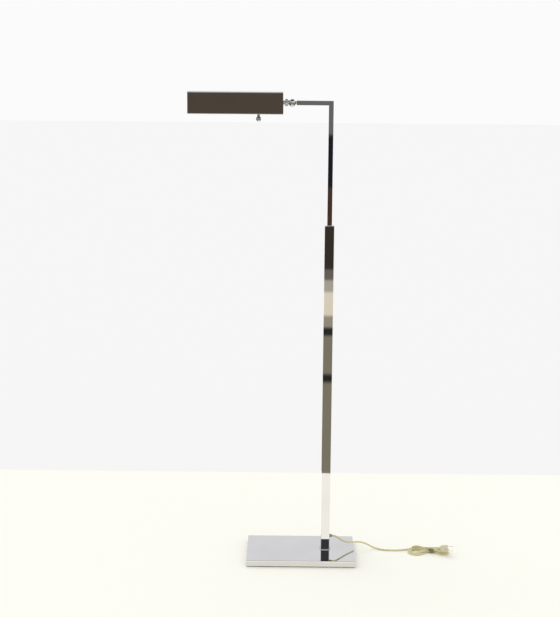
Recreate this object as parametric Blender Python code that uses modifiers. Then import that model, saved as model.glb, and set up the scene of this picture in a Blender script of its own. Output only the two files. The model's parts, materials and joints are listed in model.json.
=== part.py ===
"""A pharmacy-style floor lamp in polished chrome, in metres, with +Z up.

The origin is on the column's axis at floor level. The shade hangs on the -X side, the front faces -Y, and
the cord leaves the column on the +X side. Four empties hold the moving pieces: the post's height, the
shade's tilt, the shade's roll and the switch knob.
"""

import math

import bmesh
import bpy
from mathutils import Vector

# Clearances
gap = 0.0003
turn_gap = 0.0003

# Base
base_width = 0.310
base_depth = 0.203
plate_thickness = 0.017
plate_edge = 0.0010
pad_thickness = 0.0015
pad_inset = 0.003
base_offset = 0.0705

# Column
column_size = 0.0254
column_wall = 0.0015
column_corner = 0.0012
column_length = 0.938
foot_plug_height = 0.025
collar_lip = 0.0060
collar_chamfer = 0.0038
collar_neck = 0.022

# Fasteners under the base
bolt_radius = 0.004
bolt_head_radius = 0.0075
bolt_head_height = 0.0053
bolt_reach = 0.020
washer_thickness = 0.0020
washer_split = 0.0008
washer_slant = math.radians(20)
counterbore_radius = 0.011
counterbore_depth = 0.009
dowel_radius = 0.0015
dowel_length = 0.020
dowel_offset = 0.0072
dowel_raise = 0.003

# Sliding post and arm
post_size = 0.0127
post_wall = 0.0012
post_corner = 0.0007
arm_height = 1.300
arm_reach = 0.0944
post_engaged = 0.270
guide_height = 0.040
guide_spigot = 0.022
guide_bore = 0.0026
spring_width = 0.008
spring_length = 0.034
spring_strip = 0.0005
spring_rise = 0.0014
screw_radius = 0.0015
screw_head_radius = 0.0028
screw_head_height = 0.0016
arm_plug_length = 0.012
arm_plug_wall = 0.00095

# Swivel
ball_radius = 0.0104
ball_clearance = 0.0021
cavity_radius = 0.0074
pivot_boss_radius = 0.0034
pivot_radius = 0.0015
pivot_head_radius = 0.0030
pivot_head_height = 0.0018
pivot_recess = 0.0030
pivot_washer = 0.0005
pivot_nut_radius = 0.0031
pivot_nut_length = 0.0014
pivot_point = 0.0004
arm_stem_length = 0.010
shade_stem_radius = 0.0065
shade_stem_length = 0.0052
ring_radius = 0.00985
ring_length = 0.0077
ring_lip = 0.0016
ring_standoff = 0.0012

# Nipple that carries the shade
nipple_radius = 0.0048
nipple_bore = 0.0028
nipple_flange_radius = 0.0061
nipple_flange = 0.0015
neck_washer_radius = 0.0060
neck_washer_length = 0.0042
lock_nut_radius = 0.0081
lock_nut_length = 0.005

# Shade
shade_length = 0.259
shade_depth = 0.090
shade_height = 0.060
shade_sheet = 0.0009
shade_bend = 0.0022
shade_lip = 0.006
end_plate = 0.0012

# Socket and bulb
socket_standoff = 0.0190
socket_cap_length = 0.022
cap_neck = 0.006
socket_radius = 0.0162
socket_length = 0.062
socket_wall = 0.0008
body_length = 0.029
body_setback = 0.003
thread_shell_radius = 0.0141
thread_shell_wall = 0.0005
thread_shell_length = 0.026
contact_radius = 0.0040
contact_height = 0.0012
bulb_base_radius = 0.0126
bulb_tip_radius = 0.0045
bulb_base_length = 0.026
bulb_neck_radius = 0.0125
bulb_radius = 0.0160
bulb_length = 0.130
bulb_glass_wall = 0.0009
bulb_neck_length = 0.020
bulb_tip_rounding = 0.011

# Switch
knob_radius = 0.00705
knob_drop = 0.0446
knob_offset = 0.0674
knob_neck_radius = 0.0036
knob_neck_length = 0.0125
knob_bore_depth = 0.002
shaft_radius = 0.0020
shaft_depth = 0.0060
bushing_radius = 0.0048
bushing_length = 0.0060

# Wiring and cord
lead_radius = 0.0016
lead_reach = 0.014
slack_turns = 13
slack_radius = 0.0066
cord_width = 0.0050
relief_height = 0.0395
relief_flange_radius = 0.0058
relief_flange = 0.0018
relief_edge = 0.0006
relief_neck_radius = 0.0045
relief_collar_radius = 0.0062
relief_collar = 0.0016
relief_tail_radius = 0.0036
relief_tip_radius = 0.0034
relief_outside = 0.0080
relief_inside = 0.0125
hank_length = 0.119
hank_width = 0.048
hank_height = 0.0125
hank_lie = 0.0001
hank_centre = (0.3040, 0.0230)
plug_length = 0.024
plug_width = 0.019
plug_thickness = 0.013
plug_taper = 0.62
plug_edge = 0.0022
plug_centre = (0.3450, 0.0016)
plug_turn = math.radians(-11)
blade_length = 0.016
blade_width = 0.0063
blade_thickness = 0.0015
blade_spacing = 0.0127
blade_edge = 0.0004

# Mesh resolution
fine_steps = 24
small_steps = 20

# Heights and places that follow from the sizes above
plate_bottom = pad_thickness + gap
base_top = plate_bottom + plate_thickness
column_bottom = base_top + gap
column_top = column_bottom + column_length
column_bore = column_size - 2 * column_wall
counterbore_top = plate_bottom + counterbore_depth
foot_plug_size = column_bore - 2 * gap
collar_top = column_top + gap + collar_lip
relief_z = base_top + relief_height
dowel_middle = base_top + dowel_raise

post_bore = post_size - 2 * post_wall
post_bottom = collar_top - post_engaged
guide_bottom = post_bottom - gap - guide_height
guide_size = column_bore - 2 * gap
spigot_size = post_bore - 2 * gap
guide_screw_z = post_bottom + guide_spigot / 2
arm_stem_radius = spigot_size / 2 - arm_plug_wall - gap

ball_x = -(arm_reach + ball_clearance + ball_radius)
ring_right = ball_x - ball_radius - ring_standoff
ring_left = ring_right - ring_length
washer_right = ring_left - gap
shade_right = washer_right - neck_washer_length - gap
shade_left = shade_right - shade_length
plate_inner = shade_right - end_plate
nut_right = plate_inner - gap
cap_right = shade_right - socket_standoff
cap_left = cap_right - socket_cap_length
shell_right = cap_left - gap
body_right = shell_right - body_setback
body_left = body_right - body_length
bulb_tip = body_left - gap - contact_height - gap
bulb_shoulder = bulb_tip - bulb_base_length
knob_x = shade_right - knob_offset
knob_z = arm_height - knob_drop
neck_top = knob_z + knob_radius + knob_neck_length


def clear_scene():
    for old in list(bpy.data.objects):
        bpy.data.objects.remove(old, do_unlink=True)


def new_collection(name, hidden):
    collection = bpy.data.collections.new(name)
    bpy.context.scene.collection.children.link(collection)
    collection.hide_render = hidden
    return collection


def finish_material(name, colour, roughness, metallic):
    material = bpy.data.materials.new(name)
    material.use_nodes = True
    shader = material.node_tree.nodes["Principled BSDF"]
    shader.inputs["Base Color"].default_value = (*colour, 1)
    shader.inputs["Roughness"].default_value = roughness
    shader.inputs["Metallic"].default_value = metallic
    material.diffuse_color = (*colour, 1)
    return material


clear_scene()
lamp = new_collection("floor_lamp", hidden=False)
cutters = new_collection("floor_lamp_cutters", hidden=True)

finishes = {
    "chrome": finish_material("chrome", (0.80, 0.80, 0.81), 0.06, 1),
    "steel": finish_material("steel", (0.55, 0.56, 0.58), 0.35, 1),
    "brass": finish_material("brass", (0.78, 0.60, 0.28), 0.30, 1),
    "felt": finish_material("felt", (0.03, 0.03, 0.03), 0.95, 0),
    "nylon": finish_material("nylon", (0.86, 0.85, 0.80), 0.45, 0),
    "phenolic": finish_material("phenolic", (0.04, 0.035, 0.03), 0.50, 0),
    "glass": finish_material("glass", (0.95, 0.95, 0.93), 0.20, 0),
    "cord": finish_material("cord", (0.52, 0.45, 0.24), 0.28, 0),
    "plug": finish_material("plug", (0.82, 0.79, 0.66), 0.25, 0),
}


def joint_empty(name, place, parent=None):
    """An empty on a joint's axis. The pieces that move with the joint are its children."""
    empty = bpy.data.objects.new(name, None)
    empty.empty_display_size = 0.02
    lamp.objects.link(empty)
    if parent:
        empty.parent = parent
        empty.location = Vector(place) - world_place(parent)
    else:
        empty.location = place
    return empty


def world_place(empty):
    place = empty.location.copy()
    while empty.parent:
        empty = empty.parent
        place += empty.location
    return place


def put(obj, finish, place=(0, 0, 0), parent=None, turn=(0, 0, 0)):
    """Links an object into the lamp at a world place, with its finish."""
    lamp.objects.link(obj)
    obj.data.materials.append(finishes[finish])
    obj.parent = parent
    obj.location = Vector(place) - (world_place(parent) if parent else Vector())
    obj.rotation_euler = turn
    return obj


def as_cutter(obj, place=(0, 0, 0), turn=(0, 0, 0)):
    cutters.objects.link(obj)
    obj.location = place
    obj.rotation_euler = turn
    obj.hide_render = True
    obj.display_type = "WIRE"
    return obj


def boolean(obj, other, operation="DIFFERENCE"):
    modifier = obj.modifiers.new(other.name, "BOOLEAN")
    modifier.operation = operation
    modifier.object = other
    modifier.solver = "EXACT"


def mesh_object(name, bm):
    mesh = bpy.data.meshes.new(name)
    bm.to_mesh(mesh)
    bm.free()
    return bpy.data.objects.new(name, mesh)


def box(name, size, edge=0.0, only_upright=False, steps=2):
    """A box about its centre, with its edges (or only its upright ones) rounded."""
    bm = bmesh.new()
    bmesh.ops.create_cube(bm, size=1)
    bmesh.ops.scale(bm, vec=size, verts=bm.verts)
    if edge:
        edges = bm.edges[:]
        if only_upright:
            edges = [e for e in edges if abs((e.verts[0].co - e.verts[1].co).normalized().z) > 0.9]
        bmesh.ops.bevel(bm, geom=edges, offset=edge, segments=steps, profile=0.5, affect="EDGES")
    return mesh_object(name, bm)


def cylinder(name, radius, length, steps=small_steps):
    bm = bmesh.new()
    bmesh.ops.create_cone(bm, cap_ends=True, segments=steps, radius1=radius, radius2=radius, depth=length)
    return mesh_object(name, bm)


def hexagon(name, radius, length):
    return cylinder(name, radius, length, 6)


def sphere(name, radius):
    bm = bmesh.new()
    bmesh.ops.create_uvsphere(bm, u_segments=fine_steps, v_segments=fine_steps // 2, radius=radius)
    return mesh_object(name, bm)


def smooth(obj, angle=35):
    obj.data.shade_smooth()
    obj.data.set_sharp_from_angle(angle=math.radians(angle))
    return obj


def turned(name, profile, steps=small_steps, closed=False):
    """A profile of (radius, height) points turned about Z, its outer side running from top to bottom."""
    bm = bmesh.new()
    points = [bm.verts.new((radius, 0, height)) for radius, height in profile]
    for first, second in zip(points, points[1:]):
        bm.edges.new((first, second))
    if closed:
        bm.edges.new((points[-1], points[0]))
    obj = mesh_object(name, bm)
    screw = obj.modifiers.new("turn", "SCREW")
    screw.steps = steps
    screw.render_steps = steps
    screw.use_merge_vertices = True
    screw.merge_threshold = 0.00001
    screw.use_smooth_shade = False
    return obj


def ring(name, inner, outer, length, steps=small_steps):
    """A plain ring about Z, from height 0 down to -length."""
    return turned(name, [(inner, 0), (outer, 0), (outer, -length), (inner, -length)], steps, closed=True)


def arc(centre, radius, start, stop, steps):
    """Points on an arc, from one angle to another in degrees."""
    angles = [math.radians(start + (stop - start) * i / steps) for i in range(steps + 1)]
    return [(centre[0] + radius * math.cos(a), centre[1] + radius * math.sin(a)) for a in angles]


def square_tube(name, size, wall, corner, length):
    """A square tube about its centre along Z."""
    tube = box(name, (size, size, length), corner, only_upright=True)
    bore = size - 2 * wall
    inner_corner = max(corner - wall, 0.2 * wall)
    inner = box(name + "_bore", (bore, bore, 2 * length), inner_corner, only_upright=True, steps=1)
    return tube, inner


def wire(name, points, radius, resolution=2):
    curve = bpy.data.curves.new(name, "CURVE")
    curve.dimensions = "3D"
    spline = curve.splines.new("POLY")
    spline.points.add(len(points) - 1)
    for target, point in zip(spline.points, points):
        target.co = (*point, 1)
    curve.bevel_depth = radius
    curve.bevel_resolution = resolution
    curve.use_fill_caps = True
    return bpy.data.objects.new(name, curve)


def flat_outline(name, outline, thickness):
    curve = bpy.data.curves.new(name, "CURVE")
    curve.dimensions = "2D"
    curve.fill_mode = "BOTH"
    spline = curve.splines.new("POLY")
    spline.points.add(len(outline) - 1)
    for target, (x, y) in zip(spline.points, outline):
        target.co = (x, y, 0, 1)
    spline.use_cyclic_u = True
    curve.extrude = thickness / 2
    return bpy.data.objects.new(name, curve)


def smooth_route(route, spacing):
    """Points a spacing apart, or a little less, on a Catmull-Rom curve through the route's points."""
    points = [Vector(p) for p in route]
    points = [2 * points[0] - points[1]] + points + [2 * points[-1] - points[-2]]
    dense = []
    for p0, p1, p2, p3 in zip(points, points[1:], points[2:], points[3:]):
        for i in range(20):
            t = i / 20
            dense.append(
                0.5
                * (
                    2 * p1
                    + (p2 - p0) * t
                    + (2 * p0 - 5 * p1 + 4 * p2 - p3) * t**2
                    + (3 * p1 - p0 - 3 * p2 + p3) * t**3
                )
            )
    dense.append(points[-2])
    lengths = [0.0]
    for first, second in zip(dense, dense[1:]):
        lengths.append(lengths[-1] + (second - first).length)
    count = math.ceil(lengths[-1] / spacing)
    result = []
    at = 0
    for i in range(count + 1):
        wanted = lengths[-1] * i / count
        while at < len(dense) - 2 and lengths[at + 1] < wanted:
            at += 1
        share = (wanted - lengths[at]) / (lengths[at + 1] - lengths[at])
        result.append(dense[at].lerp(dense[at + 1], share))
    return result


along_minus_x = (0, -math.pi / 2, 0)  # turns +Z to -X
along_plus_x = (0, math.pi / 2, 0)  # turns +Z to +X
along_minus_y = (math.pi / 2, 0, 0)  # turns +Z to -Y
along_plus_y = (-math.pi / 2, 0, 0)  # turns +Z to +Y

post_joint = joint_empty("post_height_axis", (0, 0, arm_height))
tilt_joint = joint_empty("shade_tilt_axis", (ball_x, 0, arm_height), post_joint)
roll_joint = joint_empty("shade_roll_axis", (ball_x, 0, arm_height), tilt_joint)
knob_joint = joint_empty("switch_turn_axis", (knob_x, 0, knob_z), roll_joint)


# --- Base -----------------------------------------------------------------------------------------


def make_felt_pad():
    size = (base_width - 2 * pad_inset, base_depth - 2 * pad_inset, pad_thickness)
    put(box("base_felt_pad", size), "felt", (-base_offset, 0, pad_thickness / 2))


def make_base_plate():
    plate = box("base_plate", (base_width, base_depth, plate_thickness), plate_edge)
    put(plate, "chrome", (-base_offset, 0, (plate_bottom + base_top) / 2))
    counterbore = cylinder("counterbore", counterbore_radius, 2 * counterbore_depth)
    boolean(plate, as_cutter(counterbore, (0, 0, plate_bottom)))
    bolt_hole = cylinder("plate_bolt_hole", bolt_radius + gap, 4 * plate_thickness)
    boolean(plate, as_cutter(bolt_hole, (0, 0, base_top)))
    dowel_hole = cylinder("plate_dowel_hole", dowel_radius + gap, dowel_length + 2 * gap)
    boolean(plate, as_cutter(dowel_hole, (dowel_offset, dowel_offset, dowel_middle)))


def make_dowel():
    pin = cylinder("column_dowel", dowel_radius, dowel_length, 12)
    put(smooth(pin), "steel", (dowel_offset, dowel_offset, dowel_middle))


def make_bolt():
    head_top = counterbore_top - gap - washer_thickness - gap
    head_middle = head_top - bolt_head_height / 2
    bolt = hexagon("column_bolt", bolt_head_radius, bolt_head_height)
    put(bolt, "steel", (0, 0, head_middle))
    tip = column_bottom + bolt_reach
    shank = cylinder("bolt_shank", bolt_radius, tip - head_middle)
    boolean(bolt, as_cutter(shank, (0, 0, (tip + head_middle) / 2)), "UNION")


def make_lock_washer():
    washer = ring("column_lock_washer", bolt_radius + gap, bolt_head_radius, washer_thickness)
    put(washer, "steel", (0, 0, counterbore_top - gap))
    slot = box("washer_slot", (2 * bolt_head_radius, washer_split, 4 * washer_thickness))
    boolean(washer, as_cutter(slot, (bolt_head_radius, 0, counterbore_top), (washer_slant, 0, 0)))


def make_foot_plug():
    plug = box("column_foot_plug", (foot_plug_size, foot_plug_size, foot_plug_height), column_corner, True)
    put(plug, "steel", (0, 0, column_bottom + foot_plug_height / 2))
    bolt_hole = cylinder("plug_bolt_hole", bolt_radius + gap, 4 * foot_plug_height)
    boolean(plug, as_cutter(bolt_hole, (0, 0, column_bottom)))
    dowel_hole = cylinder("plug_dowel_hole", dowel_radius + gap, dowel_length + 2 * gap)
    boolean(plug, as_cutter(dowel_hole, (dowel_offset, dowel_offset, dowel_middle)))


# --- Column ---------------------------------------------------------------------------------------


def make_column():
    column, bore = square_tube("column_tube", column_size, column_wall, column_corner, column_length)
    middle = (column_bottom + column_top) / 2
    put(column, "chrome", (0, 0, middle))
    boolean(column, as_cutter(bore, (0, 0, middle)))
    exit_hole = cylinder("cord_exit_hole", relief_neck_radius + gap, 4 * column_wall)
    boolean(column, as_cutter(exit_hole, (column_size / 2, 0, relief_z), along_plus_x))


def make_collar():
    """The chamfered band on the column's top, with a neck in the column and a square hole for the post."""
    bm = bmesh.new()
    bmesh.ops.create_cube(bm, size=1)
    bmesh.ops.scale(bm, vec=(column_size, column_size, collar_lip), verts=bm.verts)
    upright = [e for e in bm.edges if abs(e.verts[0].co.z - e.verts[1].co.z) > collar_lip / 2]
    bmesh.ops.bevel(bm, geom=upright, offset=column_corner, segments=2, profile=0.5, affect="EDGES")
    top = [e for e in bm.edges if all(v.co.z > collar_lip / 2 - gap for v in e.verts)]
    bmesh.ops.bevel(bm, geom=top, offset=collar_chamfer, segments=1, affect="EDGES", clamp_overlap=True)
    collar = put(mesh_object("column_collar", bm), "chrome", (0, 0, column_top + gap + collar_lip / 2))
    neck_size = column_bore - 2 * gap
    neck = box("collar_neck", (neck_size, neck_size, collar_neck + collar_lip / 2), column_corner, True)
    boolean(collar, as_cutter(neck, (0, 0, column_top + gap + (collar_lip / 2 - collar_neck) / 2)), "UNION")
    hole_size = post_size + 2 * gap
    hole = box("collar_hole", (hole_size, hole_size, 4 * collar_neck), post_corner, True, 1)
    boolean(collar, as_cutter(hole, (0, 0, column_top)))


def make_strain_relief():
    """Turned about the cord's axis. Local height 0 is the column's outer face, and heights grow outwards."""
    wall_outer = gap
    wall_inner = -column_wall - gap
    profile = [
        (0, relief_outside),
        (relief_tip_radius - relief_edge, relief_outside),
        (relief_tip_radius, relief_outside - relief_edge),
        (relief_neck_radius, wall_outer + relief_flange + relief_edge),
        (relief_flange_radius, wall_outer + relief_flange),
        (relief_flange_radius, wall_outer),
        (relief_neck_radius, wall_outer),
        (relief_neck_radius, wall_inner),
        (relief_collar_radius, wall_inner),
        (relief_neck_radius, wall_inner - relief_collar),
        (relief_tail_radius, wall_inner - relief_collar),
        (relief_tail_radius, -relief_inside),
        (0, -relief_inside),
    ]
    relief = turned("strain_relief", profile, 16)
    put(relief, "cord", (column_size / 2, 0, relief_z), turn=along_plus_x)


# --- Sliding post and arm -------------------------------------------------------------------------


def mitre_cutter(name, side):
    """A large block that covers one side of the 45-degree plane through the corner of post and arm."""
    size = 8 * post_size
    block = box(name, (size, size, size))
    normal = Vector((-1, 0, 1)).normalized() * side
    place = Vector((0, 0, arm_height)) + normal * (size / 2 - gap / 2)
    return as_cutter(block, place, (0, -math.pi / 4, 0))


def make_post():
    corner_z = arm_height + post_size / 2
    length = corner_z - post_bottom
    post, bore = square_tube("inner_post", post_size, post_wall, post_corner, length)
    middle = (corner_z + post_bottom) / 2
    put(post, "chrome", (0, 0, middle), post_joint)
    boolean(post, as_cutter(bore, (0, 0, middle)))
    boolean(post, mitre_cutter("post_mitre", 1))
    screw_hole = cylinder("post_screw_hole", screw_radius + gap, 4 * post_wall, 12)
    boolean(post, as_cutter(screw_hole, (0, -post_size / 2, guide_screw_z), along_minus_y))


def make_arm():
    length = arm_reach + post_size / 2
    arm, bore = square_tube("arm_tube", post_size, post_wall, post_corner, length)
    middle = (-arm_reach + post_size / 2) / 2
    put(arm, "chrome", (middle, 0, arm_height), post_joint, along_minus_x)
    boolean(arm, as_cutter(bore, (middle, 0, arm_height), along_minus_x))
    boolean(arm, mitre_cutter("arm_mitre", -1))


def make_guide():
    """The sliding block below the post, with a spigot, a pocket for the spring and a hole for the lead."""
    block = box("post_guide_block", (guide_size, guide_size, guide_height), column_corner, True)
    put(block, "nylon", (0, 0, guide_bottom + guide_height / 2), post_joint)
    overlap = 0.002
    spigot = box("guide_spigot", (spigot_size, spigot_size, guide_spigot + gap + overlap))
    spigot_middle = guide_bottom + guide_height + (guide_spigot + gap - overlap) / 2
    boolean(block, as_cutter(spigot, (0, 0, spigot_middle)), "UNION")
    lead_hole = cylinder("guide_lead_hole", guide_bore, 4 * guide_height, 16)
    boolean(block, as_cutter(lead_hole, (0, 0, guide_bottom)))
    pocket_depth = spring_rise + spring_strip + gap
    pocket = box("guide_spring_pocket", (spring_width + 2 * gap, 2 * pocket_depth, spring_length + 2 * gap))
    boolean(block, as_cutter(pocket, (0, guide_size / 2, guide_bottom + guide_height / 2)))
    screw_depth = spigot_size / 2 - guide_bore - gap
    screw_hole = cylinder("guide_screw_hole", screw_radius + gap, 2 * screw_depth, 12)
    boolean(block, as_cutter(screw_hole, (0, -spigot_size / 2, guide_screw_z), along_minus_y))


def make_guide_screw():
    tip = guide_bore + 2 * gap
    seat = post_size / 2 + gap
    profile = [
        (0, seat + screw_head_height),
        (screw_head_radius * 0.6, seat + screw_head_height),
        (screw_head_radius, seat + screw_head_height * 0.5),
        (screw_head_radius, seat),
        (screw_radius, seat),
        (screw_radius, tip),
        (0, tip),
    ]
    put(turned("guide_screw", profile, 12), "steel", (0, 0, guide_screw_z), post_joint, along_minus_y)


def make_spring():
    """A bowed strip in the guide block's pocket. Its crest bears on the column's wall."""
    steps = 10
    crest = guide_size / 2
    root = crest - spring_rise
    half = spring_length / 2
    rise = [(half * (2 * i / steps - 1), 1 - (2 * i / steps - 1) ** 2) for i in range(steps + 1)]
    outer = [(z, root + spring_rise * share) for z, share in rise]
    inner = [(z, y - spring_strip) for z, y in reversed(outer)]
    strip = flat_outline("friction_spring", [(y, z) for z, y in outer + inner], spring_width)
    # The outline's own x and y become the lamp's Y and Z.
    turn = (math.pi / 2, 0, math.pi / 2)
    put(strip, "steel", (0, 0, guide_bottom + guide_height / 2), post_joint, turn)


def make_arm_plug():
    plug = box("arm_end_plug", (arm_plug_length, spigot_size, spigot_size))
    put(plug, "steel", (-arm_reach + arm_plug_length / 2 + gap, 0, arm_height), post_joint)
    hole = cylinder("arm_plug_hole", arm_stem_radius + gap, 4 * arm_plug_length)
    boolean(plug, as_cutter(hole, (-arm_reach, 0, arm_height), along_plus_x))


def make_post_lead():
    """The lead up the post and along the arm, round the inside of the mitre."""
    bend = post_bore / 2 + 0.006
    corner = [(-bend + x, arm_height - bend + z) for x, z in arc((0, 0), bend, 0, 90, 8)]
    points = [(0, 0, guide_bottom + gap)]
    points += [(x, 0, z) for x, z in corner]
    points.append((-arm_reach + arm_plug_length, 0, arm_height))
    points.append((-arm_reach - ball_clearance + gap, 0, arm_height))
    put(wire("post_lead", points, lead_radius), "cord", parent=post_joint)


# --- Swivel ---------------------------------------------------------------------------------------


def cavity_cutter(name):
    """The ball's hollow: a round space about the pivot's boss, turned about the pivot's axis."""
    reach = math.sqrt(cavity_radius**2 - pivot_boss_radius**2)
    start = math.degrees(math.atan2(reach, pivot_boss_radius))
    profile = arc((0, 0), cavity_radius, start, -start, 12)
    return as_cutter(turned(name, profile, fine_steps, closed=True), (ball_x, 0, arm_height), along_minus_y)


def half_ball(name, side, parent):
    """Half of the swivel's ball, on the front (side -1) or the back (side 1) of the lamp's middle plane."""
    ball = put(smooth(sphere(name, ball_radius)), "chrome", (ball_x, 0, arm_height), parent, along_minus_y)
    size = 4 * ball_radius
    away = box(name + "_split", (size, size, size))
    boolean(ball, as_cutter(away, (ball_x, side * (gap / 2 - size / 2), arm_height)))
    boolean(ball, cavity_cutter(name + "_cavity"))
    return ball


def stem_clearance(name, side):
    """The space that the other half sweeps, which this half's stem stays out of."""
    swept = as_cutter(sphere(name, ball_radius + turn_gap), (ball_x, 0, arm_height), along_minus_y)
    size = 4 * ball_radius
    keep = box(name + "_keep", (size, size, size))
    boolean(swept, as_cutter(keep, (ball_x, side * (size / 2 + gap / 2), arm_height)))
    return swept


def pivot_hole(name):
    hole = cylinder(name, pivot_radius + gap, 6 * ball_radius, 16)
    return as_cutter(hole, (ball_x, 0, arm_height), along_minus_y)


def make_arm_half():
    half = half_ball("swivel_arm_half", -1, post_joint)
    inside = ball_radius - cavity_radius
    length = inside + ball_clearance + arm_stem_length
    middle = (ball_x + cavity_radius + length / 2, 0, arm_height)
    stem = as_cutter(cylinder("arm_stem", arm_stem_radius, length), middle, along_plus_x)
    boolean(stem, stem_clearance("arm_stem_clearance", -1))
    boolean(half, stem, "UNION")
    bore = cylinder("arm_stem_bore", lead_radius + gap, 2 * length, 16)
    boolean(half, as_cutter(bore, (ball_x + cavity_radius + length, 0, arm_height), along_plus_x))
    boolean(half, pivot_hole("arm_half_pivot_hole"))
    recess = cylinder("screw_recess", pivot_head_radius + gap, 2 * pivot_recess)
    boolean(half, as_cutter(recess, (ball_x, -ball_radius, arm_height), along_minus_y))


def make_shade_half():
    half = half_ball("swivel_shade_half", 1, tilt_joint)
    inside = ball_radius - cavity_radius
    length = inside + shade_stem_length
    middle = (ball_x - cavity_radius - length / 2, 0, arm_height)
    stem = as_cutter(cylinder("shade_stem", shade_stem_radius, length, fine_steps), middle, along_plus_x)
    boolean(stem, stem_clearance("shade_stem_clearance", 1))
    boolean(half, stem, "UNION")
    bore = cylinder("shade_stem_bore", nipple_bore, 2 * length)
    boolean(half, as_cutter(bore, (ball_x - cavity_radius - length, 0, arm_height), along_plus_x))
    boolean(half, pivot_hole("shade_half_pivot_hole"))
    recess = cylinder("nut_recess", pivot_nut_radius + 2 * gap, 2 * pivot_recess)
    boolean(half, as_cutter(recess, (ball_x, ball_radius, arm_height), along_minus_y))


def make_pivot():
    """The screw through both halves, with a spring washer and a nut in the back half's recess."""
    seat = ball_radius - pivot_recess - gap
    tip = -(ball_radius - pivot_point)
    profile = [
        (0, seat + gap + pivot_head_height),
        (pivot_head_radius * 0.7, seat + gap + pivot_head_height),
        (pivot_head_radius, seat + gap + pivot_head_height * 0.6),
        (pivot_head_radius, seat + 2 * gap),
        (pivot_radius, seat + 2 * gap),
        (pivot_radius, tip),
        (0, tip),
    ]
    put(turned("swivel_screw", profile, 16), "chrome", (ball_x, 0, arm_height), tilt_joint, along_minus_y)
    washer = ring("swivel_spring_washer", pivot_radius + gap, pivot_head_radius, pivot_washer, 16)
    washer_face = ball_radius - pivot_recess + gap + pivot_washer
    put(washer, "steel", (ball_x, washer_face, arm_height), tilt_joint, along_plus_y)
    nut = hexagon("swivel_nut", pivot_nut_radius, pivot_nut_length)
    nut_middle = washer_face + gap + pivot_nut_length / 2
    put(nut, "steel", (ball_x, nut_middle, arm_height), tilt_joint, along_minus_y)
    hole = cylinder("swivel_nut_hole", pivot_radius + gap, 4 * pivot_nut_length, 16)
    boolean(nut, as_cutter(hole, (ball_x, nut_middle, arm_height), along_minus_y))


def make_knurled_ring():
    """Local height 0 is the ring's shade-side face, and heights fall towards the ball."""
    outer = ring_radius
    bore = shade_stem_radius + gap
    lip_bore = nipple_radius + turn_gap
    edge = 0.0005
    profile = [
        (lip_bore, 0),
        (outer - edge, 0),
        (outer, -edge),
        (outer, edge - ring_length),
        (outer - edge, -ring_length),
        (bore, -ring_length),
        (bore, -ring_lip),
        (lip_bore, -ring_lip),
    ]
    knurled = turned("knurled_ring", profile, fine_steps, closed=True)
    put(knurled, "chrome", (ring_left, 0, arm_height), tilt_joint, along_minus_x)


# --- Shade ----------------------------------------------------------------------------------------


def make_nipple():
    """The hollow threaded stem. Its flange turns inside the knurled ring, and it carries shade and socket."""
    flange_left = ring_left + ring_lip + turn_gap
    flange_right = flange_left + nipple_flange
    end = cap_right - cap_neck
    length = flange_right - end
    profile = [
        (nipple_bore, 0),
        (nipple_flange_radius, 0),
        (nipple_flange_radius, -nipple_flange),
        (nipple_radius, -nipple_flange),
        (nipple_radius, -length),
        (nipple_bore, -length),
    ]
    nipple = turned("shade_nipple", profile, 24, closed=True)
    put(nipple, "brass", (flange_right, 0, arm_height), roll_joint, along_plus_x)


def make_neck_washer():
    washer = ring("shade_neck_washer", nipple_radius + gap, neck_washer_radius, neck_washer_length, 24)
    put(washer, "chrome", (washer_right, 0, arm_height), roll_joint, along_plus_x)


def rounded_path(corners, radius, steps):
    """An open path of (y, z) points with its inner corners rounded."""
    path = [corners[0]]
    for before, corner, after in zip(corners, corners[1:], corners[2:]):
        corner = Vector(corner)
        towards = (Vector(before) - corner).normalized()
        onwards = (Vector(after) - corner).normalized()
        centre = corner + radius * (towards + onwards)
        for i in range(steps + 1):
            angle = math.pi / 2 * i / steps
            path.append(tuple(centre - radius * (onwards * math.cos(angle) + towards * math.sin(angle))))
    path.append(corners[-1])
    return path


def make_shade_shell():
    """One folded sheet: a lip, the front, the top, the back and a lip, open below and at both ends."""
    half_depth = shade_depth / 2
    half_height = shade_height / 2
    corners = [
        (-half_depth + shade_lip, -half_height),
        (-half_depth, -half_height),
        (-half_depth, half_height),
        (half_depth, half_height),
        (half_depth, -half_height),
        (half_depth - shade_lip, -half_height),
    ]
    bm = bmesh.new()
    ends = []
    path = rounded_path(corners, shade_bend, 4)
    for x in (shade_left, shade_right):
        ends.append([bm.verts.new((x - ball_x, y, z)) for y, z in path])
    for i in range(len(path) - 1):
        bm.faces.new((ends[0][i], ends[0][i + 1], ends[1][i + 1], ends[1][i]))
    bmesh.ops.recalc_face_normals(bm, faces=bm.faces)
    # The outer face is the drawn one, so the sheet's thickness goes inwards, towards the middle.
    bm.faces.ensure_lookup_table()
    front = max(bm.faces, key=lambda face: -face.calc_center_median().y)
    if front.normal.y > 0:
        bmesh.ops.reverse_faces(bm, faces=bm.faces)
    shell = put(mesh_object("shade_shell", bm), "chrome", (ball_x, 0, arm_height), roll_joint)
    sheet = shell.modifiers.new("sheet", "SOLIDIFY")
    sheet.thickness = shade_sheet
    sheet.offset = -1


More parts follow.
